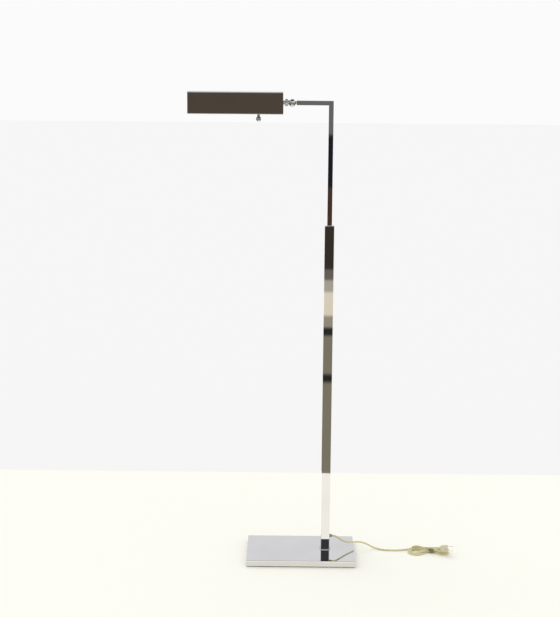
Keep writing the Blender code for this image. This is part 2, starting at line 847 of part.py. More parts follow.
def make_end_plate(name, outer_x, bored):
    """A flat plate that closes one end of the folded sheet, with its corners rounded to fit the bends."""
    clear = shade_sheet + gap
    half = shade_depth / 2 - clear
    top = shade_height / 2 - clear
    bend = max(shade_bend - shade_sheet, 0.0004) + gap
    outline = []
    for y, z, start in ((half, top, 0), (-half, top, 90), (-half, -top, 180), (half, -top, 270)):
        centre = (y - math.copysign(bend, y), z - math.copysign(bend, z))
        outline += arc(centre, bend, start, start + 90, 4)
    bm = bmesh.new()
    face = bm.faces.new([bm.verts.new((0, y, z)) for y, z in outline])
    extruded = bmesh.ops.extrude_face_region(bm, geom=[face])
    moved = [v for v in extruded["geom"] if isinstance(v, bmesh.types.BMVert)]
    bmesh.ops.translate(bm, vec=(-end_plate, 0, 0), verts=moved)
    bmesh.ops.recalc_face_normals(bm, faces=bm.faces)
    plate = put(mesh_object(name, bm), "chrome", (outer_x, 0, arm_height), roll_joint)
    if bored:
        hole = cylinder(name + "_hole", nipple_radius + gap, 8 * end_plate)
        boolean(plate, as_cutter(hole, (outer_x, 0, arm_height), along_plus_x))


def make_lock_nut():
    nut = hexagon("shade_lock_nut", lock_nut_radius, lock_nut_length)
    put(nut, "brass", (nut_right - lock_nut_length / 2, 0, arm_height), roll_joint, along_plus_x)
    hole = cylinder("lock_nut_hole", nipple_radius + gap, 4 * lock_nut_length)
    boolean(nut, as_cutter(hole, (nut_right, 0, arm_height), along_plus_x))


# --- Socket, bulb and switch ----------------------------------------------------------------------


def make_socket_cap():
    """A domed cap, open towards the shell. Heights fall along -X from the end plate's side."""
    bore = nipple_radius + gap
    neck = bore + 2 * socket_wall
    dome_height = socket_cap_length - cap_neck
    dome_width = socket_radius - neck
    quarter = arc((0, 0), 1, 90, 0, 5)
    dome = [(neck + dome_width * x, dome_height * (z - 1) - cap_neck) for x, z in quarter]
    inner = [(max(radius - socket_wall, bore), height - socket_wall) for radius, height in dome]
    inner[-1] = (socket_radius - socket_wall, -socket_cap_length)
    profile = [(bore, 0), (neck, 0)] + dome + list(reversed(inner))
    cap = turned("socket_cap", profile, 24, closed=True)
    put(cap, "brass", (cap_right, 0, arm_height), roll_joint, along_plus_x)


def make_socket_shell():
    shell = ring("socket_shell", socket_radius - socket_wall, socket_radius, socket_length, fine_steps)
    put(shell, "brass", (shell_right, 0, arm_height), roll_joint, along_plus_x)
    hole = cylinder("shell_shaft_hole", shaft_radius + turn_gap, 4 * socket_wall, 16)
    boolean(shell, as_cutter(hole, (knob_x, 0, arm_height - socket_radius)))


def make_socket_body():
    radius = socket_radius - socket_wall - gap
    body = cylinder("socket_body", radius, body_length, 24)
    put(body, "phenolic", ((body_right + body_left) / 2, 0, arm_height), roll_joint, along_plus_x)
    shaft_top = arm_height - radius + shaft_depth
    hole = cylinder("body_shaft_hole", shaft_radius + turn_gap, 2 * (shaft_depth + 2 * gap), 16)
    boolean(body, as_cutter(hole, (knob_x, 0, shaft_top - shaft_depth)))


def make_thread_shell():
    bore = thread_shell_radius - thread_shell_wall
    shell = ring("socket_thread_shell", bore, thread_shell_radius, thread_shell_length, 24)
    put(shell, "brass", (body_left - gap, 0, arm_height), roll_joint, along_plus_x)


def make_contact():
    contact = cylinder("socket_contact", contact_radius, contact_height, 16)
    put(contact, "brass", (body_left - gap - contact_height / 2, 0, arm_height), roll_joint, along_plus_x)


def bulb_outline(inset):
    """The glass from its neck down to its rounded tip, moved inwards by an inset."""
    centre = (bulb_radius - bulb_tip_rounding, bulb_tip_rounding - bulb_length)
    tip = arc(centre, bulb_tip_rounding - inset, 0, -90, 5)
    neck = [(bulb_neck_radius - inset, 0), (bulb_neck_radius - inset, -0.2 * bulb_neck_length)]
    return neck + [(bulb_radius - inset, -bulb_neck_length)] + tip + [(0, inset - bulb_length)]


def make_bulb():
    """A tubular bulb that lies along the shade. Heights fall along -X from the tip of its base."""
    base = [
        (0, 0),
        (bulb_tip_radius, 0),
        (bulb_tip_radius + 0.001, -0.0015),
        (bulb_base_radius - 0.0004, -0.0045),
        (bulb_base_radius, -0.0060),
        (bulb_base_radius, -bulb_base_length),
        (0, -bulb_base_length),
    ]
    put(turned("bulb_base", base, 24), "steel", (bulb_tip, 0, arm_height), roll_joint, along_plus_x)
    profile = bulb_outline(0) + list(reversed(bulb_outline(bulb_glass_wall)))
    glass = turned("bulb_glass", profile, 24, closed=True)
    put(glass, "glass", (bulb_shoulder - gap, 0, arm_height), roll_joint, along_plus_x)


def make_bushing():
    """The fixed sleeve under the socket that the switch's shaft turns in."""
    top = arm_height - socket_radius - gap
    bushing = ring("switch_bushing", shaft_radius + turn_gap, bushing_radius, bushing_length, 24)
    put(bushing, "brass", (knob_x, 0, top), roll_joint)


def make_knob():
    """A ball with a hollow neck that fits over the shaft."""
    bore = shaft_radius + gap
    start = math.degrees(math.acos(knob_neck_radius / knob_radius))
    ball = arc((0, 0), knob_radius, start, -90, 10)
    top = neck_top - knob_z
    floor = -knob_bore_depth
    bottom = [(0, -knob_radius), (0, floor), (bore, floor)]
    profile = [(bore, top), (knob_neck_radius, top)] + ball[:-1] + bottom
    knob = smooth(turned("switch_knob", profile, fine_steps, closed=True))
    put(knob, "chrome", (knob_x, 0, knob_z), knob_joint)


def make_shaft():
    top = arm_height - (socket_radius - socket_wall - gap) + shaft_depth - gap
    bottom = knob_z - knob_bore_depth + gap
    shaft = cylinder("switch_shaft", shaft_radius, top - bottom, 16)
    put(shaft, "steel", (knob_x, 0, (top + bottom) / 2), knob_joint)


# --- Wiring and cord ------------------------------------------------------------------------------


def make_slack_lead():
    """The coiled lead in the column, which gives and takes length as the post moves."""
    bottom = relief_z + 0.020
    top = guide_bottom - gap - lead_radius
    per_turn = 7
    count = slack_turns * per_turn
    points = []
    for i in range(count + 1):
        share = i / count
        grow = min(1, 8 * share, 8 * (1 - share))
        angle = 2 * math.pi * i / per_turn
        x = slack_radius * grow * math.cos(angle)
        y = slack_radius * grow * math.sin(angle)
        points.append((x, y, bottom + (top - bottom) * share))
    start = column_size / 2 - relief_inside - gap
    side = -0.0065
    lead_in = smooth_route(
        [
            (start, 0, relief_z),
            (start - 0.003, 0, relief_z + 0.0001),
            (side, 0, relief_z + 0.0035),
            (side, 0, relief_z + 0.0100),
            points[0],
        ],
        0.0035,
    )
    put(wire("slack_lead", lead_in[:-1] + points, lead_radius), "cord")


def make_shade_lead():
    """The lead through the nipple, from the ball to the socket's cap."""
    points = [(ball_x - ball_radius - 2 * gap, 0, arm_height), (cap_right - lead_reach, 0, arm_height)]
    put(wire("shade_lead", points, lead_radius), "cord", parent=roll_joint)


cord_lie = cord_width / 2 + 0.0002
cord_route = [
    (column_size / 2 + relief_outside + gap, 0.0000, relief_z),
    (0.0262, 0.0000, relief_z - 0.0003),
    (0.0340, -0.0010, 0.0550),
    (0.0440, -0.0020, 0.0483),
    (0.0560, 0.0000, 0.0413),
    (0.0680, 0.0060, 0.0366),
    (0.0800, 0.0140, 0.0338),
    (0.0930, 0.0235, 0.0308),
    (0.1060, 0.0340, 0.0262),
    (0.1180, 0.0430, 0.0198),
    (0.1300, 0.0470, 0.0125),
    (0.1420, 0.0460, 0.0065),
    (0.1540, 0.0425, 0.0034),
    (0.1660, 0.0375, cord_lie),
    (0.1790, 0.0340, cord_lie),
    (0.1950, 0.0325, cord_lie),
    (0.2120, 0.0330, cord_lie),
    (0.2290, 0.0365, cord_lie),
    (0.2400, 0.0400, cord_lie),
    (0.2480, 0.0422, cord_lie),
]


def make_cord_run():
    points = smooth_route(cord_route, 2.5 * cord_width)
    # A short first step keeps the tube's end square to the strain relief's face.
    points.insert(1, points[0] + Vector((0.3 * cord_width, 0, 0)))
    put(wire("cord_run", points, cord_width / 2), "cord")


def make_cord_hank():
    """The bundled rest of the cord: one outline with round ends."""
    radius = hank_width / 2
    straight = hank_length / 2 - radius
    right = arc((straight, 0), radius, -90, 90, 10)
    left = arc((-straight, 0), radius, 90, 270, 10)
    hank = flat_outline("cord_hank", right + left, hank_height)
    put(hank, "cord", (*hank_centre, hank_lie + hank_height / 2))


def make_plug():
    """A moulded plug that stands on its narrow side on the hank, narrower where the cord enters it."""
    bm = bmesh.new()
    bmesh.ops.create_cube(bm, size=1)
    bmesh.ops.scale(bm, vec=(plug_length, plug_thickness, plug_width), verts=bm.verts)
    for vert in bm.verts:
        if vert.co.x < 0:
            vert.co.y *= plug_taper
            vert.co.z *= plug_taper
    bmesh.ops.bevel(bm, geom=bm.edges[:], offset=plug_edge, segments=3, profile=0.5, affect="EDGES")
    body = mesh_object("plug_body", bm)
    middle = Vector((*plug_centre, hank_lie + hank_height + gap + plug_width / 2))
    put(body, "plug", middle, turn=(0, 0, plug_turn))
    forward = Vector((math.cos(plug_turn), math.sin(plug_turn), 0))
    blade_middle = middle + forward * (plug_length / 2 + gap + blade_length / 2)
    for name, side in (("plug_blade_lower", -1), ("plug_blade_upper", 1)):
        blade = box(name, (blade_length, blade_width, blade_thickness), blade_edge, steps=1)
        place = blade_middle + Vector((0, 0, side * blade_spacing / 2))
        put(blade, "brass", place, turn=(0, 0, plug_turn))



make_felt_pad()
make_base_plate()
make_dowel()
make_bolt()
make_lock_washer()
make_foot_plug()
make_column()
make_collar()
make_strain_relief()
make_post()
make_arm()
make_guide()
make_guide_screw()
make_spring()
make_arm_plug()
make_post_lead()
make_arm_half()
make_shade_half()
make_pivot()
make_knurled_ring()
make_nipple()
make_neck_washer()
make_shade_shell()
make_end_plate("shade_end_plate_near", shade_right, bored=True)
make_end_plate("shade_end_plate_far", shade_left + end_plate, bored=False)
make_lock_nut()
make_socket_cap()
make_socket_shell()
make_socket_body()
make_thread_shell()
make_contact()
make_bulb()
make_bushing()
make_knob()
make_shaft()
make_slack_lead()
make_shade_lead()
make_cord_run()
make_cord_hank()
make_plug()
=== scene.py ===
"""The looks of the pharmacy floor lamp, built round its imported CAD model, in metres and the model's frame."""

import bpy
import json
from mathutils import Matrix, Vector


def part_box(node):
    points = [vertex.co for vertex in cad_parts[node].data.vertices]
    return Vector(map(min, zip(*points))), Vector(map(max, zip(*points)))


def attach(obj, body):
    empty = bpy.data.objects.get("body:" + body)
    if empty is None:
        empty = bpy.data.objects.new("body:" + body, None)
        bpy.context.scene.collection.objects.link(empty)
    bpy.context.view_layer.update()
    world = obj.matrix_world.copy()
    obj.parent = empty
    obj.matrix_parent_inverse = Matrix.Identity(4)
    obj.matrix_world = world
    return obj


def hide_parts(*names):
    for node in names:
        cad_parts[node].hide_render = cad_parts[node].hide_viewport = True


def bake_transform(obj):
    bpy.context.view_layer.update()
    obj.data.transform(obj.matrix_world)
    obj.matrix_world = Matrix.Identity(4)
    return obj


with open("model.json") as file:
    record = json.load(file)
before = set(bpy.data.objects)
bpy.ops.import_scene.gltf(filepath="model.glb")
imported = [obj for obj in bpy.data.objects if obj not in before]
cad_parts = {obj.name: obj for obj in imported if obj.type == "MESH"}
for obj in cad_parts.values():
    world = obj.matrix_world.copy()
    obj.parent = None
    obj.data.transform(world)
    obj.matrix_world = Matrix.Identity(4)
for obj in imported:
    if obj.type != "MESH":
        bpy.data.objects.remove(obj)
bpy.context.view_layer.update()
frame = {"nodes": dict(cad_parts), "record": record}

import json
import math

import bmesh
import bpy
import numpy as np
from mathutils import Matrix, Vector

# -------------------------------- camera and stage

CAMERA_PLACE = Vector((-0.10576, -3.81853, 1.4836))
CAMERA_PITCH = math.radians(11.19686)
CAMERA_YAW = math.radians(-0.44891)
CAMERA_ROLL = math.radians(0.45463)
CAMERA_LENS = 80.923


def add_camera():
    """The camera at the photograph's viewing angle."""
    ahead = Vector((
        math.sin(CAMERA_YAW) * math.cos(CAMERA_PITCH),
        math.cos(CAMERA_YAW) * math.cos(CAMERA_PITCH),
        -math.sin(CAMERA_PITCH),
    ))
    level = Vector((math.cos(CAMERA_YAW), -math.sin(CAMERA_YAW), 0))
    upright = level.cross(ahead)
    side = level * math.cos(CAMERA_ROLL) + upright * math.sin(CAMERA_ROLL)
    top = upright * math.cos(CAMERA_ROLL) - level * math.sin(CAMERA_ROLL)
    data = bpy.data.cameras.new("camera")
    data.lens = CAMERA_LENS
    camera = bpy.data.objects.new("camera", data)
    turn = Matrix((side, top, -ahead)).transposed().to_4x4()
    camera.matrix_world = Matrix.Translation(CAMERA_PLACE) @ turn
    bpy.context.scene.collection.objects.link(camera)
    bpy.context.scene.camera = camera


def add_node(tree, kind, inputs=None, **settings):
    """A new shader node, with its settings and its inputs: a socket is linked, a value is set."""
    made = tree.nodes.new(kind)
    for name, value in settings.items():
        setattr(made, name, value)
    for name, value in (inputs or {}).items():
        if isinstance(value, bpy.types.NodeSocket):
            tree.links.new(value, made.inputs[name])
        else:
            made.inputs[name].default_value = value
    return made


def ramp(tree, factor, stops, interpolation="LINEAR"):
    """The colour output of a colour ramp over factor. Stops are (position, (red, green, blue))."""
    made = add_node(tree, "ShaderNodeValToRGB", {"Fac": factor})
    made.color_ramp.interpolation = interpolation
    elements = made.color_ramp.elements
    while len(elements) < len(stops):
        elements.new(0.5)
    for element, (position, colour) in zip(elements, stops):
        element.position = position
        element.color = (*colour, 1)
    return made.outputs["Color"]


def grey(value):
    """A neutral colour."""
    return (value, value, value)


def link_mesh(name, vertices, faces):
    """A new object that holds a mesh of these vertices and faces, its normals pointing out."""
    mesh = bpy.data.meshes.new(name)
    mesh.from_pydata([tuple(v) for v in vertices], [], faces)
    shape = bmesh.new()
    shape.from_mesh(mesh)
    bmesh.ops.recalc_face_normals(shape, faces=shape.faces)
    shape.to_mesh(mesh)
    shape.free()
    made = bpy.data.objects.new(name, mesh)
    bpy.context.scene.collection.objects.link(made)
    return made


def glow(name, span=None, stops=None, colour=None, axis="Z"):
    """An emission material: one colour, or a ramp of stops over distance from the Z axis or over height."""
    made = bpy.data.materials.new(name)
    made.use_nodes = True
    tree = made.node_tree
    tree.nodes.clear()
    if stops:
        place = add_node(tree, "ShaderNodeTexCoord").outputs["Object"]
        if axis == "RADIUS":
            flat = add_node(tree, "ShaderNodeVectorMath", {0: place, 1: (1, 1, 0)}, operation="MULTIPLY")
            far = add_node(
                tree, "ShaderNodeVectorMath", {0: flat.outputs["Vector"]}, operation="LENGTH"
            ).outputs["Value"]
        else:
            far = add_node(tree, "ShaderNodeSeparateXYZ", {0: place}).outputs["Z"]
        share = add_node(tree, "ShaderNodeMath", {0: far, 1: span}, operation="DIVIDE").outputs["Value"]
        colour = ramp(tree, share, [(position / span, shade) for position, shade in stops])
    else:
        colour = (*colour, 1)
    light = add_node(tree, "ShaderNodeEmission", {"Color": colour})
    add_node(tree, "ShaderNodeOutputMaterial", {"Surface": light.outputs["Emission"]})
    return made


def only_reflected(card, material):
    """A card of the stage that only mirrors see."""
    card.data.materials.append(material)
    card.visible_camera = False
    card.visible_diffuse = False
    card.visible_transmission = False
    card.visible_volume_scatter = False
    card.visible_shadow = False


def steps(bands, edge):
    """Ramp stops for plain bands [(start, colour), ...], each blended into the next over a width of edge."""
    stops = [(bands[0][0], bands[0][1])]
    for (_, before), (start, after) in zip(bands, bands[1:]):
        stops += [(start - edge / 2, before), (start + edge / 2, after)]
    return stops


ROOM_RADIUS = 6.0
ROOM_HEIGHT = 1.45
BACK_WALL_HEIGHT = 1.0
NEAR_FLOOR_RADIUS = 0.78
CARD_LIFT = 0.002
CARD_DISTANCE = -5.9
CEILING_HEIGHT = 3.2
CEILING_RADIUS = 1.7
ROUND_SIDES = 96
FLOOR_SIZE = 40.0
FRONT_MARGIN = 0.035
FRONT_FLOOR = (1.10, 1.06, 0.92)
BRIGHT_FLOOR = (1.38, 1.34, 1.20)
NEAR_FLOOR_HALF = 0.77
NEAR_FLOOR_COLOUR = (0.90, 0.893, 0.825)
FAR_FLOOR_COLOUR = (0.835, 0.832, 0.832)
FLOOR_BLUR = 0.06
WALL_BLUR = 0.02
CEILING_GLOW = 0.12
TINY = 1e-6

FAR_FLOOR_BANDS = [
    (0.78, (0.30, 0.27, 0.19)),
    (2.05, grey(0.03)),
    (2.20, (0.30, 0.27, 0.19)),
    (3.00, grey(0.03)),
    (3.20, (0.45, 0.40, 0.30)),
    (3.50, (1.08, 0.97, 0.77)),
    (4.20, (0.60, 0.55, 0.45)),
    (4.60, (0.20, 0.18, 0.14)),
    (5.00, (0.052, 0.045, 0.032)),
]
ROOM_BANDS = [
    (0.0, (0.052, 0.045, 0.032)),
    (0.15, (0.097, 0.050, 0.037)),
    (0.42, (0.020, 0.019, 0.026)),
    (0.79, grey(0.20)),
]


def circle(radius, height, count=ROUND_SIDES):
    """Points round the Z axis."""
    turns = [2 * math.pi * i / count for i in range(count)]
    return [(radius * math.cos(t), radius * math.sin(t), height) for t in turns]


def box_outline(low, high, margin, height):
    """Points on the outline of a box in plan, grown by a margin, one for each of circle's directions."""
    made = []
    for x, y, _ in circle(1.0, 0.0):
        side_x = high.x + margin if x > 0 else low.x - margin
        side_y = high.y + margin if y > 0 else low.y - margin
        far = min(side_x / x if abs(x) > TINY else math.inf, side_y / y if abs(y) > TINY else math.inf)
        made.append((x * far, y * far, height))
    return made


def band_faces(count):
    """The faces between two rings of count points each."""
    return [(i, (i + 1) % count, count + (i + 1) % count, count + i) for i in range(count)]


# Plain dark flags behind the camera, as colour and outline (x, z): one faces the shade and one the plate.
FLAGS = {
    "flag_shade": (0.108, 0.085, 0.062, [(-0.95, 0.9), (-0.08, 0.9), (-0.08, 1.12), (-0.95, 1.12)]),
    "flag_plate": (0.075, 0.075, 0.080, [(-0.6, 2.15), (0.9, 2.15), (0.9, 2.5), (-0.6, 2.5)]),
}
CARD_STEP = 0.01


def add_cards():
    """Plain bands and flags for the chrome to mirror."""
    ring = link_mesh(
        "far_floor", circle(NEAR_FLOOR_RADIUS, CARD_LIFT) + circle(ROOM_RADIUS, CARD_LIFT),
        band_faces(ROUND_SIDES)
    )
    only_reflected(ring, glow("far_floor", ROOM_RADIUS, steps(FAR_FLOOR_BANDS, FLOOR_BLUR), axis="RADIUS"))
    top = [(x, y, BACK_WALL_HEIGHT if y > 0 else ROOM_HEIGHT) for x, y, _ in circle(ROOM_RADIUS, 0)]
    wall = link_mesh("room_wall", circle(ROOM_RADIUS, 0) + top, band_faces(ROUND_SIDES))
    only_reflected(wall, glow("room_wall", ROOM_HEIGHT, steps(ROOM_BANDS, WALL_BLUR)))
    low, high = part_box("base_plate")
    inner = box_outline(low, high, 0.0, CARD_LIFT)
    outer = box_outline(low, high, FRONT_MARGIN, CARD_LIFT)
    only_reflected(
        link_mesh("front_floor", inner + outer, band_faces(ROUND_SIDES)),
        glow("front_floor", colour=FRONT_FLOOR)
    )
    near = link_mesh("near_floor", outer + circle(NEAR_FLOOR_RADIUS, CARD_LIFT), band_faces(ROUND_SIDES))
    only_reflected(near, glow("near_floor", colour=BRIGHT_FLOOR))
    ceiling = link_mesh("ceiling", circle(CEILING_RADIUS, CEILING_HEIGHT), [tuple(range(ROUND_SIDES))])
    only_reflected(ceiling, glow("ceiling", colour=grey(CEILING_GLOW)))
    for i, (name, (red, green, blue, outline)) in enumerate(FLAGS.items()):
        depth = CARD_DISTANCE + CARD_STEP * i
        card = link_mesh(name, [(x, depth, z) for x, z in outline], [tuple(range(len(outline)))])
        only_reflected(card, glow(name, colour=(red, green, blue)))


def add_floor():
    """A plain pale floor, creamy up to a line behind the lamp and neutral beyond it."""
    half = FLOOR_SIZE / 2
    corners = [(-half, -half, 0), (half, -half, 0), (half, half, 0), (-half, half, 0)]
    floor = link_mesh("floor", corners, [(0, 1, 2, 3)])
    made = bpy.data.materials.new("floor")
    made.use_nodes = True
    tree = made.node_tree
    place = add_node(tree, "ShaderNodeTexCoord").outputs["Object"]
    part = add_node(tree, "ShaderNodeSeparateXYZ", {0: place})
    reach = add_node(
        tree, "ShaderNodeMath", {0: part.outputs["Y"], 1: NEAR_FLOOR_HALF}, operation="DIVIDE"
    ).outputs["Value"]
    colour = ramp(tree, reach, [(0.985, NEAR_FLOOR_COLOUR), (1.0, FAR_FLOOR_COLOUR)])
    shader = tree.nodes["Principled BSDF"]
    tree.links.new(colour, shader.inputs["Base Color"])
    shader.inputs["Roughness"].default_value = 0.9
    shader.inputs["Specular IOR Level"].default_value = 0.0
    floor.data.materials.append(made)


SUN_FROM = Vector((-0.35, 0.40, 1.0))
SUN_STRENGTH = 0.72
SUN_ANGLE = math.radians(50)
SKY_SEEN = 0.965
SKY_DIFFUSE = 0.905


def add_light():
    """Soft white studio light: a bright world and one broad sun."""
    sun = bpy.data.lights.new("sun", "SUN")
    sun.energy = SUN_STRENGTH
    sun.angle = SUN_ANGLE
    lamp = bpy.data.objects.new("sun", sun)
    lamp.rotation_mode = "QUATERNION"
    lamp.rotation_quaternion = SUN_FROM.to_track_quat("Z", "Y")
    bpy.context.scene.collection.objects.link(lamp)
    world = bpy.data.worlds.new("world")
    world.use_nodes = True
    tree = world.node_tree
    path = add_node(tree, "ShaderNodeLightPath")
    seen = add_node(
        tree, "ShaderNodeMath", {
            0: path.outputs["Is Camera Ray"], 1: path.outputs["Is Glossy Ray"]
        }, operation="MAXIMUM"
    )
    spread = SKY_SEEN - SKY_DIFFUSE
    strength = add_node(
        tree, "ShaderNodeMath", {0: seen.outputs["Value"], 1: spread, 2: SKY_DIFFUSE},
        operation="MULTIPLY_ADD"
    )
    background = tree.nodes["Background"]
    background.inputs["Color"].default_value = (1, 1, 1, 1)
    tree.links.new(strength.outputs["Value"], background.inputs["Strength"])
    bpy.context.scene.world = world
    bpy.context.scene.view_settings.view_transform = "Standard"


# -------------------------------- materials


def new_material(name):
    """A node material, its tree and its shader."""
    made = bpy.data.materials.new(name)
    made.use_nodes = True
    return made, made.node_tree, made.node_tree.nodes["Principled BSDF"]


def noise(tree, scale, detail=3.0, stretch=(1, 1, 1)):
    """Noise in the piece's own space, from 0 to 1."""
    place = add_node(tree, "ShaderNodeTexCoord").outputs["Object"]
    pulled = add_node(tree, "ShaderNodeMapping", {"Vector": place, "Scale": stretch})
    made = add_node(
        tree, "ShaderNodeTexNoise", {"Vector": pulled.outputs["Vector"], "Scale": scale, "Detail": detail}
    )
    return made.outputs["Fac"]


def between(tree, factor, low, high):
    """A number that runs from low to high as factor runs from 0.3 to 0.7, the range that noise fills."""
    made = add_node(
        tree, "ShaderNodeMapRange",
        {"Value": factor, "From Min": 0.3, "From Max": 0.7, "To Min": low, "To Max": high},
    )
    return made.outputs["Result"]


def bump(tree, shader, height, distance, strength=1.0):
    """Height as relief of that depth in metres."""
    made = add_node(tree, "ShaderNodeBump", {"Height": height, "Distance": distance, "Strength": strength})
    tree.links.new(made.outputs["Normal"], shader.inputs["Normal"])


def metal(name, dark, bright, smooth, rough, grain, depth, stretch=(1, 1, 1)):
    """A metal with a fine grain, its colour from dark to bright and its roughness from smooth to rough."""
    made, tree, shader = new_material(name)
    cloud = noise(tree, 9.0)
    colour = ramp(tree, cloud, [(0.3, dark), (0.7, bright)])
    tree.links.new(colour, shader.inputs["Base Color"])
    fine = noise(tree, grain, 4.0, stretch)
    tree.links.new(between(tree, fine, smooth, rough), shader.inputs["Roughness"])
    shader.inputs["Metallic"].default_value = 1.0
    bump(tree, shader, fine, depth)
    return made


def plastic(name, dark, bright, roughness, grain, depth, coat=0.0):
    """A moulded plastic with a faint mottle and a fine orange peel."""
    made, tree, shader = new_material(name)
    mottle = noise(tree, 60.0)
    tree.links.new(ramp(tree, mottle, [(0.3, dark), (0.7, bright)]), shader.inputs["Base Color"])
    fine = noise(tree, grain, 2.0)
    tree.links.new(between(tree, fine, roughness * 0.85, roughness * 1.15), shader.inputs["Roughness"])
    shader.inputs["Coat Weight"].default_value = coat
    bump(tree, shader, fine, depth)
    return made


CHROME = metal("chrome", (0.60, 0.60, 0.615), (0.64, 0.64, 0.655), 0.014, 0.030, 1500.0, 0.0000005)
STEEL = metal("steel", (0.42, 0.42, 0.42), (0.56, 0.55, 0.53), 0.25, 0.42, 700.0, 0.000004, (1, 1, 0.15))
BRASS = metal("brass", (0.58, 0.40, 0.13), (0.76, 0.56, 0.24), 0.18, 0.34, 500.0, 0.000003, (0.15, 1, 1))
NICKEL = metal("nickel", (0.74, 0.68, 0.54), (0.86, 0.81, 0.68), 0.16, 0.30, 500.0, 0.000003, (0.2, 1, 1))
NYLON = plastic("nylon", (0.60, 0.57, 0.42), (0.70, 0.67, 0.52), 0.38, 900.0, 0.00001)
PHENOLIC = plastic("phenolic", (0.012, 0.009, 0.007), (0.028, 0.020, 0.014), 0.30, 1100.0, 0.00001)
PLUG = plastic("plug", (0.47, 0.44, 0.27), (0.66, 0.62, 0.42), 0.22, 700.0, 0.000015, 0.5)
CORD = plastic("cord", (0.26, 0.22, 0.085), (0.42, 0.37, 0.16), 0.24, 600.0, 0.00001, 0.5)
FELT = plastic("felt", (0.012, 0.012, 0.012), (0.045, 0.045, 0.045), 0.95, 2600.0, 0.0004)
BULB = plastic("bulb_glass", (0.80, 0.80, 0.78), (0.86, 0.86, 0.84), 0.45, 1800.0, 0.000008)

SLOT_MATERIALS = {
    "chrome": CHROME, "steel": STEEL, "brass": BRASS, "felt": FELT, "nylon": NYLON,
    "phenolic": PHENOLIC, "bulb_glass": BULB, "cord": CORD, "plug": PLUG,
}

# -------------------------------- mesh work


def soften(points, radius, closed=False, count=4):
    """The outline with its corners rounded by that radius, count steps to a corner."""
    made = []
    for i, point in enumerate(points):
        corner = Vector(point)
        if not closed and i in (0, len(points) - 1):
            made.append(tuple(corner))
            continue
        before = Vector(points[i - 1]) - corner
        after = Vector(points[(i + 1) % len(points)]) - corner
        cut = min(radius, before.length * 0.48, after.length * 0.48)
        start = corner + before.normalized() * cut
        end = corner + after.normalized() * cut
        for k in range(count + 1):
            t = k / count
            made.append(tuple(start * (1 - t) ** 2 + corner * 2 * t * (1 - t) + end * t * t))
    return made


def fill(profile, step):
    """The profile with its long edges divided into steps."""
    made = [profile[0]]
    for before, after in zip(profile, profile[1:]):
        count = max(1, math.ceil((Vector(after) - Vector(before)).length / step))
        made += [tuple(Vector(before).lerp(Vector(after), k / count)) for k in range(1, count + 1)]
    return made


def arc(centre, radius, start, stop, count=12):
    """Points of an arc in a plane, with its angles in degrees."""
    turns = [math.radians(start + (stop - start) * i / count) for i in range(count + 1)]
    return [(centre[0] + radius * math.cos(t), centre[1] + radius * math.sin(t)) for t in turns]


def loft(rows, around=False):
    """Vertices and faces of a skin over rows of points, its ends capped unless it closes on its first row."""
    count = len(rows[0])
    total = len(rows)
    faces = []
    for i in range(total if around else total - 1):
        a, b = i * count, (i + 1) % total * count
        faces += [(a + k, a + (k + 1) % count, b + (k + 1) % count, b + k) for k in range(count)]
    if not around:
        faces += [tuple(range(count)), tuple(range((total - 1) * count, total * count))]
    return [point for row in rows for point in row], faces


def lathe(profile, centre, axis, count=64, around=False, reach=None):
    """A skin turned about an axis from (along, radius) points. A reach function can change the radius."""
    centre = Vector(centre)
    along = Vector(axis)
    across = Vector((0, 0, 1)) if abs(along.y) > 0.5 else Vector((0, 1, 0))
    other = along.cross(across)
    rows = []
    for distance, radius in profile:
        row = []
        for i in range(count):
            turn = 2 * math.pi * i / count
            far = reach(distance, radius, turn) if reach else radius
            row.append(centre + along * distance + (across * math.cos(turn) + other * math.sin(turn)) * far)
        rows.append(row)
    return loft(rows, around)


def sweep(points, section, wide):
    """A skin along points. The section is (across, thick), with across kept to the wide direction."""
    rows = []
    for i, point in enumerate(points):
        ahead = Vector(points[min(i + 1, len(points) - 1)]) - Vector(points[max(i - 1, 0)])
        ahead.normalize()
        across = (Vector(wide) - ahead * ahead.dot(Vector(wide))).normalized()
        thick = ahead.cross(across)
        rows.append([Vector(point) + across * a + thick * b for a, b in section])
    return loft(rows)


def carve(target, tool, operation="DIFFERENCE"):
    """Cuts tool out of target, or joins it on, and removes tool."""
    step = target.modifiers.new("carve", "BOOLEAN")
    step.operation = operation
    step.object = tool
    step.solver = "EXACT"
    graph = bpy.context.evaluated_depsgraph_get()
    mesh = bpy.data.meshes.new_from_object(target.evaluated_get(graph))
    target.modifiers.clear()
    target.data = mesh
    bpy.data.objects.remove(tool)


def dress(made, body, slot, replaced=(), material=None, sharp=38):
    """Smooths the piece but for its sharp edges, gives it its material, ties it to its body and hides the nodes
    it replaces.
    """
    made.data.shade_smooth()
    made.data.set_sharp_from_angle(angle=math.radians(sharp))
    made.data.materials.clear()
    made.data.materials.append(material or SLOT_MATERIALS[slot])
    if body:
        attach(made, body)
    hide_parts(*replaced)
    return made


def piece(name, skin, body, slot, replaced=(), material=None, sharp=38):
    """A finished piece from a skin of vertices and faces."""
    return dress(link_mesh(name, *skin), body, slot, replaced, material, sharp)


# -------------------------------- cord, hank and plug

CORD_WIDTH = 0.0050
CORD_THICKNESS = 0.0026
CORD_STEP = 0.0017
CORD_EXIT = (0.0207, 0.0, 0.0583)
CORD_LIE = 0.0027
